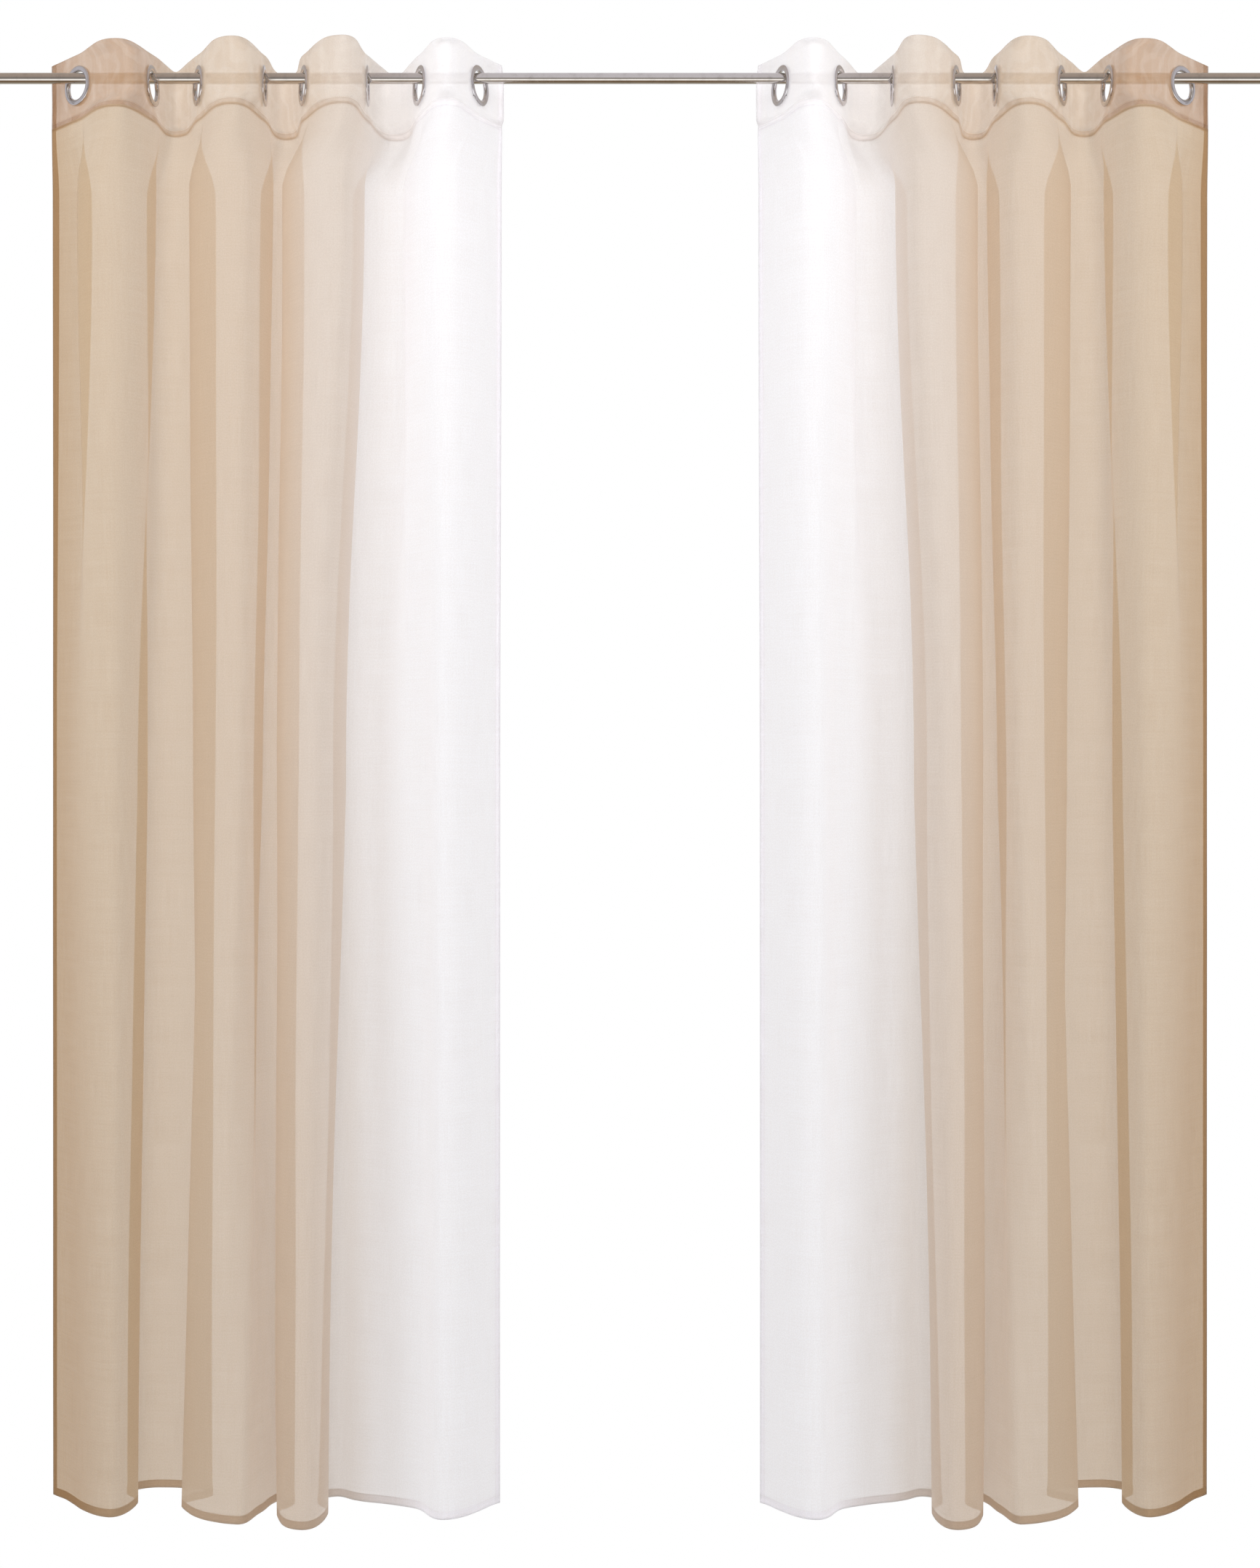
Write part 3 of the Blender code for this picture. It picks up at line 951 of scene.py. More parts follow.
    def rounder_line(self, roundness: Sequence[float]) -> list[Vector]:
        """The header's line where no flange holds it flat: through every eyelet's centre and the bends between them.

        Args:
            roundness: how round each bend is, as the share of a curve's length that its handle has.

        Returns:
            Points in the same even steps along the cloth as the other lines have.
        """
        first, last = self.header_edges
        even = self.header_roundness
        stations = [(0.0, Vector(first), even)]
        for number, (centre, _) in enumerate(self.eyelets_in_plan()):
            stations.append((self.edge_to_eyelet + number * self.between_eyelets, centre, even))
            if number < len(self.header_bends):
                stations.append((None, Vector(self.header_bends[number]), roundness[number]))
        stations.append((self.width, Vector(last), even))
        knots = [place for _, place, _ in stations]
        line = [knots[0]]
        begun, section = 0.0, []
        for number, (start, end) in enumerate(zip(knots, knots[1:])):
            before, after = knots[max(number - 1, 0)], knots[min(number + 2, len(knots) - 1)]
            length = (end - start).length
            leaving = (end - before).normalized() * length * stations[number][2]
            arriving = (after - start).normalized() * length * stations[number + 1][2]
            curve = interpolate_bezier(start, start + leaving, end - arriving, end, 60)
            section += [Vector(point[:2]) for point in curve]
            reached = stations[number + 1][0]
            if reached is not None:
                count = round(reached / self.width * self.line_steps) - round(begun / self.width * self.line_steps)
                line += self.evenly(section, count)[1:]
                begun, section = reached, []
        return line

    def eyelets_in_plan(self) -> list[tuple[Vector, Vector]]:
        """Where the eyelets are in the left panel's plan.

        Returns:
            Each eyelet's centre, and the way the cloth runs there.
        """
        placed = []
        for number, (centre, turn) in enumerate(zip(self.centres, self.turns)):
            angle = math.radians(turn)
            to_wall = -1 if number % 2 == 0 else 1
            placed.append((Vector((-abs(centre.x), 0.0)), Vector((math.cos(angle), to_wall * math.sin(angle)))))
        return placed

    def loop_between(self, start: Vector, start_way: Vector, end: Vector, end_way: Vector) -> list[Vector]:
        """The free cloth between two eyelets, with handles as long as the cloth's length makes them.

        Args:
            start: where the cloth leaves the first eyelet.
            start_way: the way it leaves.
            end: where it reaches the second.
            end_way: the way it arrives.

        Returns:
            Points along it.
        """
        cloth = self.between_eyelets - 2 * self.flat_half
        shortest, longest = 0.0, cloth
        for _ in range(40):
            handle = (shortest + longest) / 2
            points = interpolate_bezier(start, start + start_way * handle, end - end_way * handle, end, 40)
            if sum((b - a).length for a, b in zip(points, points[1:])) < cloth:
                shortest = handle
            else:
                longest = handle
        return [Vector(point[:2]) for point in points]

    def flap(self, start: Vector, way: Vector, curl: float) -> list[Vector]:
        """The cloth past a panel's last eyelet, along an arc to the side edge.

        Args:
            start: where it leaves the eyelet.
            way: the way it leaves.
            curl: how far it turns.

        Returns:
            Points along it.
        """
        count = 12
        step = (self.edge_to_eyelet - self.flat_half) / count
        points = []
        for number in range(count):
            turn = curl * (number + 0.5) / count
            cos, sin = math.cos(turn), math.sin(turn)
            start = start + Vector((way.x * cos - way.y * sin, way.x * sin + way.y * cos)) * step
            points.append(start)
        return points

    def header_line(self) -> list[Vector]:
        """The header's line, which lies flat at each eyelet.

        Returns:
            Points along it.
        """
        placed = self.eyelets_in_plan()
        first, first_way = placed[0]
        last, last_way = placed[-1]
        line = self.flap(first - first_way * self.flat_half, -first_way, 0.0)[::-1]
        for (centre, way), (next_centre, next_way) in zip(placed, placed[1:]):
            line.append(centre - way * self.flat_half)
            line += self.loop_between(
                centre + way * self.flat_half, way, next_centre - next_way * self.flat_half, next_way
            )[:-1]
        line += [last - last_way * self.flat_half, last + last_way * self.flat_half]
        return line + self.flap(line[-1], last_way, self.edge_curl)

    def line_through(self, folds: Sequence[Fold]) -> list[Vector]:
        """A smooth line through the folds and the tucks between them.

        Args:
            folds: the outer edge, the bends in order, and the inner edge.

        Returns:
            Points along it.
        """
        knots = []
        for fold, after in zip(folds, folds[1:]):
            knots.append(Vector((fold.x, fold.depth)))
            if fold.wall is not None:
                depth = after.depth - fold.depth
                for share, side in self.tuck_to_wall if depth > 0 else self.tuck_to_room:
                    knots.append(Vector((fold.wall + side * fold.tuck, fold.depth + depth * share)))
        knots.append(Vector((folds[-1].x, folds[-1].depth)))
        ways = []
        for number, knot in enumerate(knots):
            before, after = knots[max(number - 1, 0)], knots[min(number + 1, len(knots) - 1)]
            ways.append((after - before).normalized())
        line = []
        for (start, way), (end, end_way) in zip(zip(knots, ways), list(zip(knots, ways))[1:]):
            handle = (end - start).length * self.fold_roundness
            piece = interpolate_bezier(start, start + way * handle, end - end_way * handle, end, 24)
            line += [Vector(point[:2]) for point in piece[:-1]]
        return line + [knots[-1]]

    def point_on(self, plan: str, across: float) -> Vector:
        """A place on one of the cloth's lines.

        Args:
            plan: the line's name.
            across: the distance from the outer edge, along the cloth.

        Returns:
            The place in plan.
        """
        points = self.plans[plan]
        place = max(0.0, min(1.0, across / self.width)) * (len(points) - 1)
        index = min(int(place), len(points) - 2)
        return points[index].lerp(points[index + 1], place - index)

    def hanging(self, across: float, height: float) -> Vector:
        """Where the panel's middle line is.

        Args:
            across: the distance from the outer edge, along the cloth.
            height: the height.

        Returns:
            The place in plan.
        """
        seam = self.top - self.header
        if height >= seam:
            loose = (abs(height - self.centres[0].z) - self.flat_half) / self.flange_grip
            loose = eased(max(0.0, min(1.0, loose)))
            free = "top" if height > self.centres[0].z else "relaxed"
            return self.point_on("header", across).lerp(self.point_on(free, across), loose)
        above, below, high, low = "middle", "bottom", self.middle_level, self.bottom
        if height >= self.upper_level:
            above, below, high, low = "relaxed", "upper", seam, self.upper_level
        elif height >= self.middle_level:
            above, below, high, low = "upper", "middle", self.upper_level, self.middle_level
        share = (high - height) / (high - low)
        if above != "middle":
            share = eased(share)
        return self.point_on(above, across).lerp(self.point_on(below, across), share)

    def facing(self, across: float, height: float) -> Vector:
        """The way that the cloth's right side faces.

        Args:
            across: the distance from the outer edge, along the cloth.
            height: the height.

        Returns:
            The way in plan, 1 long.
        """
        step = 2 * MM
        run = self.hanging(across + step, height) - self.hanging(across - step, height)
        if run.length < 1e-7:
            run = Vector((1.0, 0.0))
        run.normalize()
        return Vector((run.y, -run.x))

    def eyes(self) -> list[float]:
        """How far each eyelet's centre is from the outer edge, along the cloth."""
        return [self.edge_to_eyelet + number * self.between_eyelets for number in range(len(self.turns))]

    def nearest_eyelet(self, across: float) -> float:
        """How far along the cloth the nearest eyelet's centre is."""
        return min(abs(across - eye) for eye in self.eyes())

    def ripple(self, across: float, height: float) -> float:
        """How far the cloth stands off its line: creases that fall from the eyelets, and slow waves lower down.

        Args:
            across: the distance from the outer edge, along the cloth.
            height: the height.

        Returns:
            The distance, towards the room where it is positive.
        """
        seam = self.top - self.header
        if height >= seam:
            free = min(1.0, max(0.0, (self.nearest_eyelet(across) - self.flat_half) / self.ripple_grip))
            return noise.noise(Vector((across * 30, height * 18, 3.1))) * self.fine_wave * free
        below = seam - height
        held = math.exp(-below / 0.22)
        crease = 0.0
        for middle in self.eyes():
            for away, strength in ((-0.026, 1.0), (0.024, 0.8)):
                line = middle + away + away * below * 0.5
                width = 0.006 + 0.018 * below
                crease += strength * math.exp(-(((across - line) / width) ** 2))
        crease *= self.crease_depth * math.exp(-below / 0.30) * min(1.0, below / 0.03)
        from_edge = (across - self.edge_crease + 0.05 * below) / (9 * MM + 0.012 * below)
        crease += self.edge_crease_depth * math.exp(-(from_edge**2) - below / 0.40) * min(1.0, below / 0.05)
        slow = noise.noise(Vector((across * 9, height * 1.6, 7.7))) * self.slow_wave
        fine = noise.noise(Vector((across * 34, height * 3.2, 1.9))) * self.fine_wave
        edge = min(1.0, across / 0.03, (self.width - across) / 0.03)
        return crease + (slow + fine) * (1 - held) * max(0.35, edge)

    def placed(self, row: Row, column: Column) -> Vector:
        """Where a corner of the cloth's mesh is.

        Args:
            row: the corner's row.
            column: its column.

        Returns:
            The place.
        """
        middle = self.hanging(column.across, row.height)
        square = self.facing(column.across, row.height)
        away = row.offset - row.hem_side * column.behind + self.ripple(column.across, row.height)
        height = row.height
        if height < self.top - self.header:
            low = (self.top - self.header - height) / (self.height - self.header)
            height += noise.noise(Vector((column.across * 3.3, 0.0, 12.4))) * 3 * MM * low
        flat = middle + square * away
        return Vector((-self.side.sign * flat.x, self.rod_y + flat.y, height))

    # The cloth's mesh

    def cloth_rows(self) -> list[Row]:
        """The rows from the raw edge inside the bottom hem, up the front, over the top and down inside the header.

        Returns:
            The rows in order.
        """
        rows: list[Row] = []
        inner, outer = 0.35 * MM, 0.75 * MM
        front = self.layer_offset

        def run(start: float, end: float, steps: int, offset: float, hem_side: float) -> None:
            """Adds evenly spaced rows.

            Args:
                start: the first row's height.
                end: the last row's height.
                steps: how many steps there are from one to the other.
                offset: how far they stand off the panel's middle line, towards the room.
                hem_side: 1 where the side hems lie behind this layer, -1 where they lie before it.
            """
            for number in range(steps + 1):
                height = start + (end - start) * number / steps
                unfolded = rows[-1].unfolded + abs(height - rows[-1].height) if rows else 0.0
                if rows and abs(height - rows[-1].height) < 1e-7 and abs(rows[-1].offset - offset) < 1e-7:
                    continue
                rows.append(Row(height, unfolded, offset, hem_side))

        hem_top = self.bottom + self.bottom_hem
        run(self.bottom + 1.5 * MM, hem_top - 0.4 * MM, 2, front - inner, -0.3)
        run(hem_top, self.bottom + 0.4 * MM, 3, front - outer, 0.3)
        run(self.bottom, hem_top, 3, front, 1)
        seam = self.top - self.header
        run(hem_top + 9 * MM, seam - 10 * MM, 96, front, 1)
        run(seam - 5 * MM, self.top - 1.6 * MM, 24, front, 1)
        run(self.top - 0.5 * MM, self.top - 0.5 * MM, 1, front * 0.8, 1)
        run(self.top, self.top, 1, 0.0, 0)
        run(self.top - 0.5 * MM, self.top - 0.5 * MM, 1, -front * 0.8, -1)
        run(self.top - 1.6 * MM, seam, 23, -front, -1)
        run(seam + 0.5 * MM, seam + self.header_turning, 3, -front + inner, 0.3)
        return rows

    def cloth_columns(self) -> list[Column]:
        """The columns from the raw edge inside the outer hem, across the panel, to the one inside the inner hem.

        Returns:
            The columns in order.
        """
        inner, outer = 0.35 * MM, 0.7 * MM
        hem = self.side_hem
        turned_in = [(hem * share, inner) for share in (0.12, 0.5, 0.96)]
        turned_in += [(hem * share, outer) for share in (1.0, 0.66, 0.33, 0.04)]
        spread = [self.width * number / self.columns for number in range(self.columns + 1)]
        flat = [(across, 0.0) for across in spread]
        mirrored = [(self.width - across, behind) for across, behind in reversed(turned_in)]
        columns: list[Column] = []
        for across, behind in turned_in + flat + mirrored:
            unfolded = columns[-1].unfolded + abs(across - columns[-1].across) if columns else 0.0
            columns.append(Column(across, unfolded, behind))
        start = next(column.unfolded for column in columns if column.behind == 0.0)
        return [Column(column.across, column.unfolded - start, column.behind) for column in columns]

    def seams(self) -> Seams:
        """Where the hems and the stitches are on the unfolded cloth.

        Returns:
            The seams.
        """
        rows = self.cloth_rows()
        start = next(row.unfolded for row in rows if row.hem_side == 1)
        seam = start + self.height - self.header
        return Seams(self.width, self.side_hem, start + self.bottom_hem, seam, self.header_turning)

    def sheet(
        self, name: str, rows: Sequence[Row], columns: Sequence[Column], materials: Sequence[bpy.types.Material]
    ) -> bpy.types.Object:
        """A sheet of cloth through rows and columns, with holes where the eyelets are.

        Args:
            name: the object's name.
            rows: its rows.
            columns: its columns.
            materials: the hanging cloth's material, and the header's where it has one.

        Returns:
            The object.
        """
        mesh = bpy.data.meshes.new(name)
        shape = bmesh.new()
        laid_out = shape.loops.layers.uv.new("cloth")
        grid = [[shape.verts.new(self.placed(row, column)) for column in columns] for row in rows]
        flat, on_cloth = {}, {}
        for row, line in zip(rows, grid):
            for column, corner in zip(columns, line):
                flat[corner] = column.unfolded, row.unfolded
                on_cloth[corner] = column.across, row.height
        eyes = self.eyes()
        eye_height = self.centres[0].z

        def away_from_eye(corner: bmesh.types.BMVert) -> tuple[float, float]:
            """Finds the eyelet that is nearest to a corner.

            Args:
                corner: the corner.

            Returns:
                How far the eyelet's centre is from it, and how far that centre is from the outer edge.
            """
            across, height = on_cloth[corner]
            eye = min(eyes, key=lambda place: abs(place - across))
            return math.hypot(across - eye, height - eye_height), eye

        seam = self.top - self.header
        for lower, upper in zip(range(len(rows)), range(1, len(rows))):
            for left, right in zip(range(len(columns)), range(1, len(columns))):
                corners = [grid[lower][left], grid[lower][right], grid[upper][right], grid[upper][left]]
                if min(away_from_eye(corner)[0] for corner in corners) < self.hole_radius:
                    continue
                if self.side is Side.RIGHT:
                    corners.reverse()
                face = shape.faces.new(corners)
                face.smooth = True
                if len(materials) > 1 and min(rows[lower].height, rows[upper].height) >= seam - 1e-6:
                    face.material_index = 1
                for loop in face.loops:
                    loop[laid_out].uv = flat[loop.vert]
        for corner in list(shape.verts):
            if not corner.link_faces:
                shape.verts.remove(corner)
        for corner in shape.verts:
            away, eye = away_from_eye(corner)
            if corner.is_boundary and away < self.flat_half:
                across, height = on_cloth[corner]
                share = self.hole_radius / away
                across, height = eye + (across - eye) * share, eye_height + (height - eye_height) * share
                stands = self.offset_of(corner, on_cloth[corner])
                offset = next(
                    row.offset
                    for row in rows
                    if abs(row.height - on_cloth[corner][1]) < 1e-9 and abs(stands - row.offset) < 0.3 * MM
                )
                corner.co = self.placed(Row(height, 0.0, offset, 0.0), Column(across, 0.0, 0.0))
        shape.to_mesh(mesh)
        shape.free()
        piece = bpy.data.objects.new(name, mesh)
        bpy.context.scene.collection.objects.link(piece)
        for material in materials:
            mesh.materials.append(material)
        return piece

    def offset_of(self, corner: bmesh.types.BMVert, place: tuple[float, float]) -> float:
        """How far a corner stands off the panel's middle line.

        Args:
            corner: the corner.
            place: its distance from the outer edge along the cloth, and its height.

        Returns:
            The distance, towards the room where it is positive.
        """
        across, height = place
        middle = self.hanging(across, height)
        square = self.facing(across, height)
        flat = Vector((-self.side.sign * corner.co.x, corner.co.y - self.rod_y))
        return (flat - middle).dot(square) - self.ripple(across, height)

    def build(self, voile: Sequence[bpy.types.Material], tape: bpy.types.Material, eyelets: "Eyelets") -> None:
        """Builds the panel's pieces in place of the imported nodes, and hangs its eyelets on their bodies.

        Args:
            voile: the hanging cloth's material and the header's.
            tape: the tape's material.
            eyelets: makes the eyelets.
        """
        name = self.side.value
        rows, columns = self.cloth_rows(), self.cloth_columns()
        cloth = self.sheet(f"{name}_voile_panel", rows, columns, voile)
        inset = self.side_hem + 1 * MM
        span = self.width - 2 * inset
        tape_columns = [
            Column(inset + span * number / self.columns, inset + span * number / self.columns, 0.0)
            for number in range(self.columns + 1)
        ]
        low, high = self.top - self.header + self.tape_inset, self.top - self.tape_inset
        tape_rows = [
            Row(low + (high - low) * number / self.tape_steps, (high - low) * number / self.tape_steps, 0.0, 0.0)
            for number in range(self.tape_steps + 1)
        ]
        stiffener = self.sheet(f"{name}_header_interlining", tape_rows, tape_columns, (tape,))
        for piece, node, slot in (
            (cloth, f"{name}_curtain", "voile"),
            (stiffener, f"{name}_header_tape", "header_stiffener"),
        ):
            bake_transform(piece)
            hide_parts(node)
            LOG.info("%s: %d faces", piece.name, len(piece.data.polygons))
        for number, centre in enumerate(self.centres, start=1):
            way = self.eyelets_in_plan()[number - 1][1]
            facing = Vector((-self.side.sign * way.y, -way.x, 0.0))
            eyelets.set_in(self.side, number, centre, facing)


# The eyelets


@dataclass
class Eyelets:
    """Ring eyelets in two halves: a domed rim with the barrel, and the washer that it snaps into behind the header."""

    chrome: bpy.types.Material
    flange_radius: float = 30 * MM
    throat_radius: float = 21.5 * MM
    barrel_radius: float = 24.3 * MM
    seat: float = 1.8 * MM  # the header's surface, from its middle
    face: float = 4.0 * MM  # how far the flange stands
    barrel_end: float = 2.8 * MM
    gap: float = 0.3 * MM
    sides: int = 64

    def __post_init__(self) -> None:
        """Models one rim and one washer, which every eyelet copies."""
        self.rim = self.turned_ring("eyelet_rim", self.rim_profile())
        self.washer = self.turned_ring("eyelet_washer", self.washer_profile())

    def rim_profile(self) -> Profile:
        """The front half: round lip, domed flange, thin edge, and the barrel's wall.

        Returns:
            Its (radius, height) points.
        """
        face, seat, throat = self.face, self.seat, self.throat_radius
        lip_width, lip_height, wall = 3.6 * MM, 2.6 * MM, 1.1 * MM
        dome = []
        crown = throat + lip_width
        for step in range(9):
            turn = math.pi * step / 16
            dome.append((crown - lip_width * math.cos(turn), face - lip_height + lip_height * math.sin(turn)))
        reach = self.flange_radius - crown
        for step in range(1, 7):
            share = step / 6
            drop = (face - seat - 0.5 * MM) * share**2.2
            dome.append((crown + reach * math.sin(share * math.pi / 2) * 0.995, face - drop))
        return dome + [
            (self.flange_radius, seat + 0.15 * MM),
            (self.flange_radius - 0.4 * MM, seat),
            (self.barrel_radius, seat),
            (self.barrel_radius, -self.barrel_end),
            (self.barrel_radius - wall, -self.barrel_end),
            (throat + 0.4 * MM, -self.barrel_end * 0.6),
            (throat, -self.barrel_end * 0.1),
        ]

    def washer_profile(self) -> Profile:
        """The back half: a domed ring that the barrel passes through.

        Returns:
            Its (radius, height) points.
        """
        inner = self.barrel_radius + self.gap
        reach = self.flange_radius - inner
        points = [(inner, -self.seat), (self.flange_radius - 0.3 * MM, -self.seat)]
        for step in range(9):
            share = step / 8
            rise = 0.25 + 0.75 * math.sin(math.pi * (0.12 + 0.76 * share))
            points.append((self.flange_radius - reach * share, -self.seat - (self.face - self.seat) * rise))
        return points

    def turned_ring(self, name: str, profile: Profile) -> bpy.types.Object:
        """Turns a ring, gives it its finish and rounds its sharp edges.

        Args:
            name: the object's name.
            profile: (radius, height) points in order.

        Returns:
            The ring.
        """
        piece = lathe(name, profile, self.sides, ring=True)
        piece.data.materials.append(self.chrome)
        rounded(piece, 0.25 * MM, 2, 50)
        return piece

    def set_in(self, side: Side, number: int, centre: Vector, facing: Vector) -> None:
        """Sets one eyelet into a header.

        Args:
            side: which panel.
            number: which eyelet, from the outer edge.
            centre: its centre.
            facing: the way that the cloth's right side faces there.
        """
        base = f"{side.value}_eyelet_{number}"
        body = f"{side.value}_panel" if number == 1 else base
        for pattern, suffix, node in ((self.rim, "rim", "front"), (self.washer, "washer", "back")):
            piece = copy_of(pattern, f"{base}_{suffix}")
            settle(piece, centre, facing)
            stand_for(piece, [f"{base}_{node}"], body)

    def put_away(self) -> None:
        """Removes the two patterns once every copy is made."""
        for pattern in (self.rim, self.washer):
            bpy.data.objects.remove(pattern, do_unlink=True)


# The rod and its brackets


@dataclass
class Rod:
    """The polished tube and the caps that close it."""

    steel: bpy.types.Material
    radius: float = 8 * MM
    wall: float = 1 * MM
    cap_radius: float = 11 * MM
    cap_length: float = 14 * MM
    spigot: float = 18 * MM
    gap: float = 0.3 * MM

    def build(self) -> None:
        """Builds the tube and both caps."""
        low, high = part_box("rod")
        half = (high[0] - low[0]) / 2
        middle = middle_of("rod")
        bore, sections = self.radius - self.wall, 24
        outside = [(self.radius, -half + 2 * half * number / sections) for number in range(sections + 1)]
        tube = lathe("curtain_rod", outside + [(bore, half), (bore, -half)], 64, ring=True)
        tube.data.materials.append(self.steel)
        rounded(tube, 0.2 * MM, 2, 50)
        settle(tube, middle, ALONG_ROD)
        stand_for(tube, ["rod"], "fixed_hardware")
        for side in Side:
            self.build_cap(side, middle + Vector((side.sign * (half + self.gap), 0, 0)))

    def build_cap(self, side: Side, place: Vector) -> None:
        """Builds one end cap: a domed button with a groove round it, on the spigot that goes into the tube.

        Args:
            side: which end.
            place: the tube's end.
        """
        radius, length = self.cap_radius, self.cap_length
        spigot = self.radius - self.wall - self.gap
        groove, dome, shoulder = 1.1 * MM, 3.0 * MM, length - 3.2 * MM
        profile = [
            (spigot - 0.8 * MM, -self.spigot),
            (spigot, -self.spigot + 1 * MM),
            (spigot, 0),
            (radius - 0.6 * MM, 0),
            (radius, 0.6 * MM),
            (radius, 3.0 * MM),
            (radius - groove, 3.6 * MM),
            (radius - groove, 4.6 * MM),
            (radius, 5.2 * MM),
            (radius, shoulder),
        ]
        for step in range(1, 7):
            turn = math.pi / 2 * step / 7
            profile.append((radius - dome + dome * math.cos(turn), shoulder + dome * math.sin(turn)))
        profile += [(radius * 0.45, length - 0.1 * MM), (radius * 0.12, length)]
        cap = lathe(f"{side.value}_rod_cap", profile, 48)
        cap.data.materials.append(self.steel)
        rounded(cap, 0.25 * MM, 2, 40)
        settle(cap, place, Vector((side.sign, 0, 0)))
        stand_for(cap, [f"{side.value}_end_cap"], "fixed_hardware")


@dataclass
class Bracket:
    """A round wall plate, the arm with the collar that the rod runs through, and their screws."""

    side: Side
    steel: bpy.types.Material
    zinc: bpy.types.Material
    plate_radius: float = 27 * MM
    plate_thickness: float = 5 * MM
    arm_radius: float = 6 * MM
    collar_radius: float = 12.8 * MM
    collar_width: float = 14 * MM
    rod_radius: float = 8 * MM
    rod_to_wall: float = 120 * MM
    screw_offset: float = 17 * MM
    screw_hole: float = 2.5 * MM
    arm_screw_hole: float = 2.9 * MM
    arm_screw_sink: float = 5.0 * MM  # the hole for its head
    gap: float = 0.3 * MM

    def build(self) -> None:
        """Builds the bracket's pieces."""
        name = self.side.value
        self.x = middle_of(f"{name}_wall_plate").x
        self.build_plate()
        self.build_holder()
        self.build_wall_screws()
        self.build_set_screw()
        self.build_arm_screw()

    def cut(self, piece: bpy.types.Object, radius: float, length: float, place: Vector, way: Vector) -> None:
        """Cuts a round hole through a piece.

        Args:
            piece: the object.
            radius: the hole's radius.
            length: the cutter's length.
            place: its middle.
            way: its axis.
        """
        drill = lathe("drill", [(radius, -length / 2), (radius, length / 2)], 32)
        settle(drill, place, way)
        combine(piece, drill)

    def build_plate(self) -> None:
        """The wall plate: a disc with a bevelled rim, a hole for the arm's screw with a sink for its head behind, and
        two screw holes.
        """
        radius, thick = self.plate_radius, self.plate_thickness
        profile = [
            (radius, 0),
            (radius, thick - 1.6 * MM),
            (radius - 0.7 * MM, thick - 0.6 * MM),
            (radius - 2.0 * MM, thick),
            (self.arm_radius + 1 * MM, thick),
        ]
        plate = lathe(f"{self.side.value}_plate", profile, 72)
        rounded(plate, 0.3 * MM, 2, 30)
        middle = Vector((self.x, 0, 0))
        settle(plate, middle, TO_ROOM)
        self.cut(plate, self.arm_screw_hole, 4 * thick, middle, TO_ROOM)
        self.cut(plate, self.arm_screw_sink, 6 * MM, middle, TO_ROOM)
        for z in (self.screw_offset, -self.screw_offset):
            self.cut(plate, self.screw_hole, 4 * thick, Vector((self.x, 0, z)), TO_ROOM)
        plate.data.materials.append(self.steel)
        bpy.ops.object.shade_smooth_by_angle(angle=SMOOTH_BELOW)
        stand_for(plate, [f"{self.side.value}_wall_plate"], "fixed_hardware")

    def build_holder(self) -> None:
        """The arm, with a groove near the plate, and its collar."""
        back = self.plate_thickness + self.gap
        front = self.rod_to_wall - self.rod_radius - self.gap - 1 * MM
        arm = self.arm_radius
        profile = [
            (arm, back),
            (arm, back + 1.2 * MM),
            (arm - 0.7 * MM, back + 2.2 * MM),
            (arm - 0.7 * MM, back + 3.2 * MM),
            (arm, back + 4.2 * MM),
            (arm, front),
        ]
        holder = lathe(f"{self.side.value}_arm", profile, 48)
        settle(holder, Vector((self.x, 0, 0)), TO_ROOM)
        axis = Vector((self.x, -self.rod_to_wall, 0))
        half, radius, edge = self.collar_width / 2, self.collar_radius, 1 * MM
        collar_profile = [
            (radius - edge, -half),
            (radius, -half + edge),
            (radius, half - edge),
            (radius - edge, half),
        ]
        collar = lathe("collar", collar_profile, 64)
        settle(collar, axis, ALONG_ROD)
        combine(holder, collar, "UNION")
        self.cut(holder, self.rod_radius + self.gap, 3 * self.collar_width, axis, ALONG_ROD)
        self.cut(holder, 2.8 * MM, 29 * MM, Vector((self.x, -back, 0)), TO_ROOM)
        self.cut(holder, 2.3 * MM, 9 * MM, axis - Vector((0, 0, self.collar_radius)), Vector((0, 0, 1)))
        merge_close(holder, 0.01 * MM)
        holder.data.materials.append(self.steel)
        rounded(holder, 0.3 * MM, 2, 30)
        stand_for(holder, [f"{self.side.value}_rod_holder"], "fixed_hardware")

    def build_wall_screws(self) -> None:
        """The wall screws: pan heads with a cross recess, and a thread that tapers to a point."""
        seat = self.plate_thickness + self.gap
        head, shank, reach = 4.2 * MM, 2.1 * MM, 32 * MM
        point = reach + 2 * shank
        profile = [(0.15 * MM, -point), (shank * 0.7, -reach + 1 * MM)]
        turns, pitch, core = 13, 2.2 * MM, shank - 0.45 * MM
        for number in range(turns):
            z = -reach + 2 * MM + number * pitch
            profile += [(core, z), (shank, z + 0.7 * MM), (core, z + 1.4 * MM)]
        profile += [(shank, seat - 1 * MM), (shank, seat), (head, seat), (head, seat + 0.9 * MM)]
        profile += [(head * 0.93, seat + 1.6 * MM), (head * 0.75, seat + 2.2 * MM), (head * 0.4, seat + 2.6 * MM)]
        for place, z in (("upper", self.screw_offset), ("lower", -self.screw_offset)):
            screw = lathe(f"{self.side.value}_plate_screw_{place}", profile, 32)
            self.cut_cross(screw, seat + 2.6 * MM)
            screw.data.materials.append(self.zinc)
            rounded(screw, 0.08 * MM, 1, 40)
            settle(screw, Vector((self.x, 0, z)), TO_ROOM)
            stand_for(screw, [f"{self.side.value}_wall_screw_{place}"], "fixed_hardware")

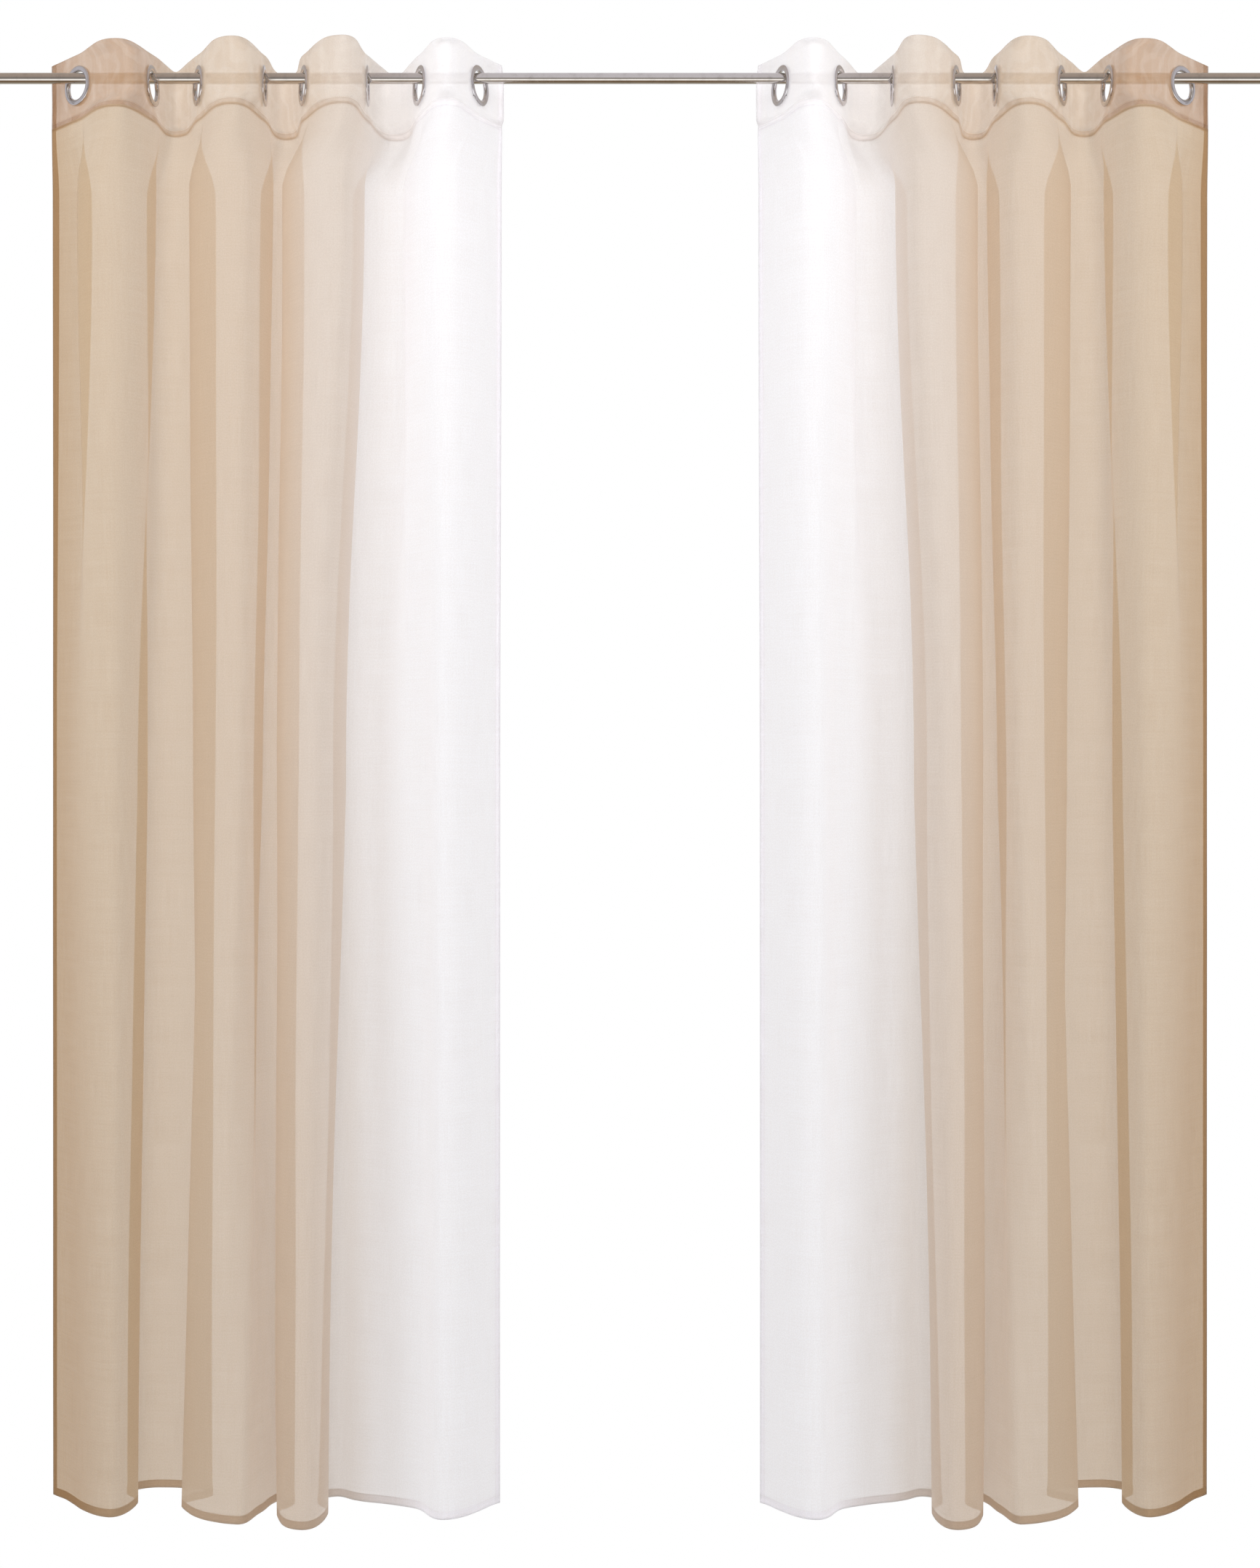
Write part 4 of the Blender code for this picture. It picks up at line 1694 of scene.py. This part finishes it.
    def cut_cross(self, screw: bpy.types.Object, top: float) -> None:
        """Cuts a cross recess into a screw's head, which faces +Z.

        Args:
            screw: the object.
            top: the head's highest point.
        """
        wing, blade, depth = 4.4 * MM, 0.9 * MM, 2.6 * MM
        for size in ((wing, blade, depth), (blade, wing, depth)):
            deselect()
            bpy.ops.mesh.primitive_cube_add(size=1, location=(0, 0, top))
            bit = bpy.context.object
            bit.data.transform(Matrix.Translation((0, 0, top)) @ Matrix.Diagonal((*size, 1)))
            bit.matrix_world = Matrix.Identity(4)
            combine(screw, bit)

    def build_set_screw(self) -> None:
        """The grub screw that holds the rod, with a six-sided socket."""
        length = 4.2 * MM
        middle = self.rod_radius + 2 * self.gap + length / 2
        half, radius, edge, key = length / 2, 2 * MM, 0.4 * MM, 1.1 * MM
        profile = [(radius - edge, -half), (radius, -half + edge), (radius, half - edge), (radius - edge, half)]
        screw = lathe(f"{self.side.value}_grub_screw", profile, 32)
        combine(screw, lathe("socket", [(key, half - 1.8 * MM), (key, length)], 6))
        screw.data.materials.append(self.zinc)
        rounded(screw, 0.08 * MM, 1, 40)
        settle(screw, Vector((self.x, -self.rod_to_wall, -middle)), Vector((0, 0, -1)))
        stand_for(screw, [f"{self.side.value}_set_screw"], "fixed_hardware")

    def build_arm_screw(self) -> None:
        """The screw that holds the arm from behind the plate."""
        top = -self.gap
        under = top - 2.4 * MM
        tip = -(self.plate_thickness + 14 * MM)
        shank, head = 2.5 * MM, 4.6 * MM
        profile = [
            (shank - 0.4 * MM, tip),
            (shank, tip + 0.6 * MM),
            (shank, under),
            (head, under),
            (head, top - 0.5 * MM),
            (head - 0.5 * MM, top),
        ]
        screw = lathe(f"{self.side.value}_arm_bolt", profile, 32)
        screw.data.materials.append(self.zinc)
        rounded(screw, 0.1 * MM, 1, 40)
        settle(screw, Vector((self.x, 0, 0)), -TO_ROOM)
        stand_for(screw, [f"{self.side.value}_arm_screw"], "fixed_hardware")


# The studio


@dataclass(frozen=True)
class Softbox:
    """A rectangular lamp, which neither the camera nor the metal shows."""

    name: str
    place: Place
    target: Place
    size: tuple[float, float]
    power: float  # in watts
    shadows: bool = True

    def hang(self) -> None:
        """Adds the lamp."""
        data = bpy.data.lights.new(self.name, "AREA")
        data.shape = "RECTANGLE"
        data.size, data.size_y = self.size
        data.energy = self.power
        data.use_shadow = self.shadows
        lamp = bpy.data.objects.new(self.name, data)
        lamp.location = self.place
        lamp.rotation_mode = "QUATERNION"
        lamp.rotation_quaternion = (Vector(self.target) - Vector(self.place)).to_track_quat("-Z", "Y")
        lamp.visible_camera = False
        lamp.visible_glossy = False
        bpy.context.scene.collection.objects.link(lamp)


@dataclass(frozen=True)
class Studio:
    """The camera, the soft lights, the pale floor and the white surroundings."""

    eye: Place = (0.0, -2.62, -1.093)
    lens: float = 37.05
    sensor_width: float = 36.0
    floor_height: float = -2.30
    softboxes: tuple[Softbox, ...] = (
        Softbox("key_softbox", (0.0, -3.4, 1.2), (0.0, 0.0, -0.9), (3.0, 2.4), 41),
        Softbox("back_softbox", (0.0, 2.4, 1.0), (0.0, 0.0, -0.9), (3.2, 2.6), 70, shadows=False),
        Softbox("left_fill", (-3.8, -2.5, 0.1), (0.0, 0.0, -0.8), (2.4, 2.4), 85, shadows=False),
        Softbox("right_fill", (3.8, -2.5, 0.1), (0.0, 0.0, -0.8), (2.4, 2.4), 85, shadows=False),
    )
    mirrored: tuple[tuple[float, Colour], ...] = (  # what metal shows at each angle above the way into the room
        (-180, (0.51, 0.47, 0.39)),
        (-125, (0.40, 0.36, 0.30)),
        (-105, (0.23, 0.16, 0.10)),
        (-70, (0.23, 0.16, 0.10)),
        (-57, (1.45, 1.43, 1.40)),
        (-40, (1.45, 1.43, 1.40)),
        (-30, (0.28, 0.26, 0.24)),
        (0, (0.30, 0.27, 0.25)),
        (20, (0.46, 0.38, 0.33)),
        (90, (0.50, 0.42, 0.36)),
        (180, (0.50, 0.46, 0.42)),
    )

    def build(self) -> None:
        """Builds the studio."""
        self.set_camera()
        self.lay_floor()
        for softbox in self.softboxes:
            softbox.hang()
        self.surround()
        bpy.context.scene.view_settings.view_transform = "Standard"

    def set_camera(self) -> None:
        """Sets the camera where the panels were looked at from, level and square to the wall."""
        data = bpy.data.cameras.new("camera")
        data.lens = self.lens
        data.sensor_width = self.sensor_width
        camera = bpy.data.objects.new("camera", data)
        camera.location = self.eye
        camera.rotation_euler = (math.radians(90), 0, 0)
        bpy.context.scene.collection.objects.link(camera)
        bpy.context.scene.camera = camera

    def lay_floor(self) -> None:
        """Lays the pale floor, which isn't part of the object."""
        deselect()
        bpy.ops.mesh.primitive_plane_add(size=14, location=(0, 0, 0))
        floor = bpy.context.object
        floor.name = floor.data.name = "studio_floor"
        floor.location = (0, 0, self.floor_height)
        material, graph, shader = new_material("pale_floor")
        shader.inputs["Base Color"].default_value = (0.55, 0.55, 0.55, 1)
        shader.inputs["Roughness"].default_value = 0.9
        lit = graph.add("ShaderNodeEmission")
        both = graph.add("ShaderNodeMixShader")
        graph.put(both.inputs[0], graph.add("ShaderNodeLightPath").outputs["Is Camera Ray"])
        graph.put(both.inputs[1], shader.outputs[0])
        graph.put(both.inputs[2], lit.outputs[0])
        graph.put(material.node_tree.nodes["Material Output"].inputs[0], both.outputs[0])
        floor.data.materials.append(material)
        floor.visible_glossy = False

    def surround(self) -> None:
        """White all round to the eye, a soft room's light on the pieces, and a room with a bright floor in metal."""
        world = bpy.data.worlds.new("studio")
        bpy.context.scene.world = world
        world.use_nodes = True
        graph = Graph(world.node_tree)
        shader = world.node_tree.nodes["Background"]
        split = graph.add("ShaderNodeSeparateXYZ")
        graph.put(split.inputs[0], graph.add("ShaderNodeTexCoord").outputs["Generated"])
        to_right, to_wall, up = split.outputs
        room = graph.mix(graph.between(up, -0.15, 0.75), (0.50, 0.49, 0.48), (0.66, 0.66, 0.67))
        turn = graph.math("DIVIDE", graph.math("ARCTAN2", up, graph.math("MULTIPLY", to_wall, -1.0)), 2 * math.pi)
        stops = [(angle / 360 + 0.5, colour) for angle, colour in self.mirrored]
        mirrored = graph.ramp(graph.math("ADD", turn, 0.5), stops)
        sideways = graph.math("ABSOLUTE", to_right)
        shown = graph.mix(graph.between(sideways, 0.60, 0.95), mirrored, (0.58, 0.56, 0.58))
        window = graph.math("MULTIPLY", graph.between(sideways, 0.06, 0.20, 1.0, 0.0), graph.between(up, -0.30, 0.0))
        shown = graph.mix(window, shown, (0.76, 0.74, 0.79))
        path = graph.add("ShaderNodeLightPath")
        room = graph.mix(path.outputs["Is Glossy Ray"], room, shown)
        graph.put(shader.inputs["Color"], graph.mix(path.outputs["Is Camera Ray"], room, (1.0, 1.0, 1.0)))
        shader.inputs["Strength"].default_value = 1.0


def main() -> None:
    """Builds the classes in order."""
    logging.basicConfig(level=logging.INFO, format="%(message)s")
    weave = new_group("weave", {"Cloth Place": (0.0, 0.0, 0.0), "Thread Pitch": 0.001}, ("Threads", "Slubs"), weave_of)
    stitches = new_group(
        "stitches", {"Across": 0.0, "Along": 0.0, "Line": 0.0, "Stitch Length": 0.003}, ("Mask",), stitches_of
    )
    marks = new_group("handling_marks", {"Place": (0.0, 0.0, 0.0)}, ("Smudges", "Scratches"), marks_of)
    steel = Metal("polished_steel", marks, (0.66, 0.63, 0.60), (0.50, 0.47, 0.44), 0.08, (12.0, 900.0, 900.0)).made()
    chrome = Metal("eyelet_chrome", marks, (0.72, 0.71, 0.73), (0.60, 0.58, 0.60), 0.09, (220.0, 220.0, 220.0)).made()
    zinc = Metal("screw_zinc", marks, (0.62, 0.61, 0.57), (0.45, 0.43, 0.38), 0.34, (700.0, 700.0, 700.0)).made()

    Studio().build()
    eyelets = Eyelets(chrome)
    tape = Stiffener().made()
    panels = [Panel(side) for side in Side]
    seams = panels[0].seams()
    voile = [Voile(weave, stitches).made(part, seams) for part in Cloth]
    for panel in panels:
        panel.build(voile, tape, eyelets)
    eyelets.put_away()
    Rod(steel).build()
    for side in Side:
        Bracket(side, steel, zinc).build()


if __name__ == "__main__":
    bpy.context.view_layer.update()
    main()
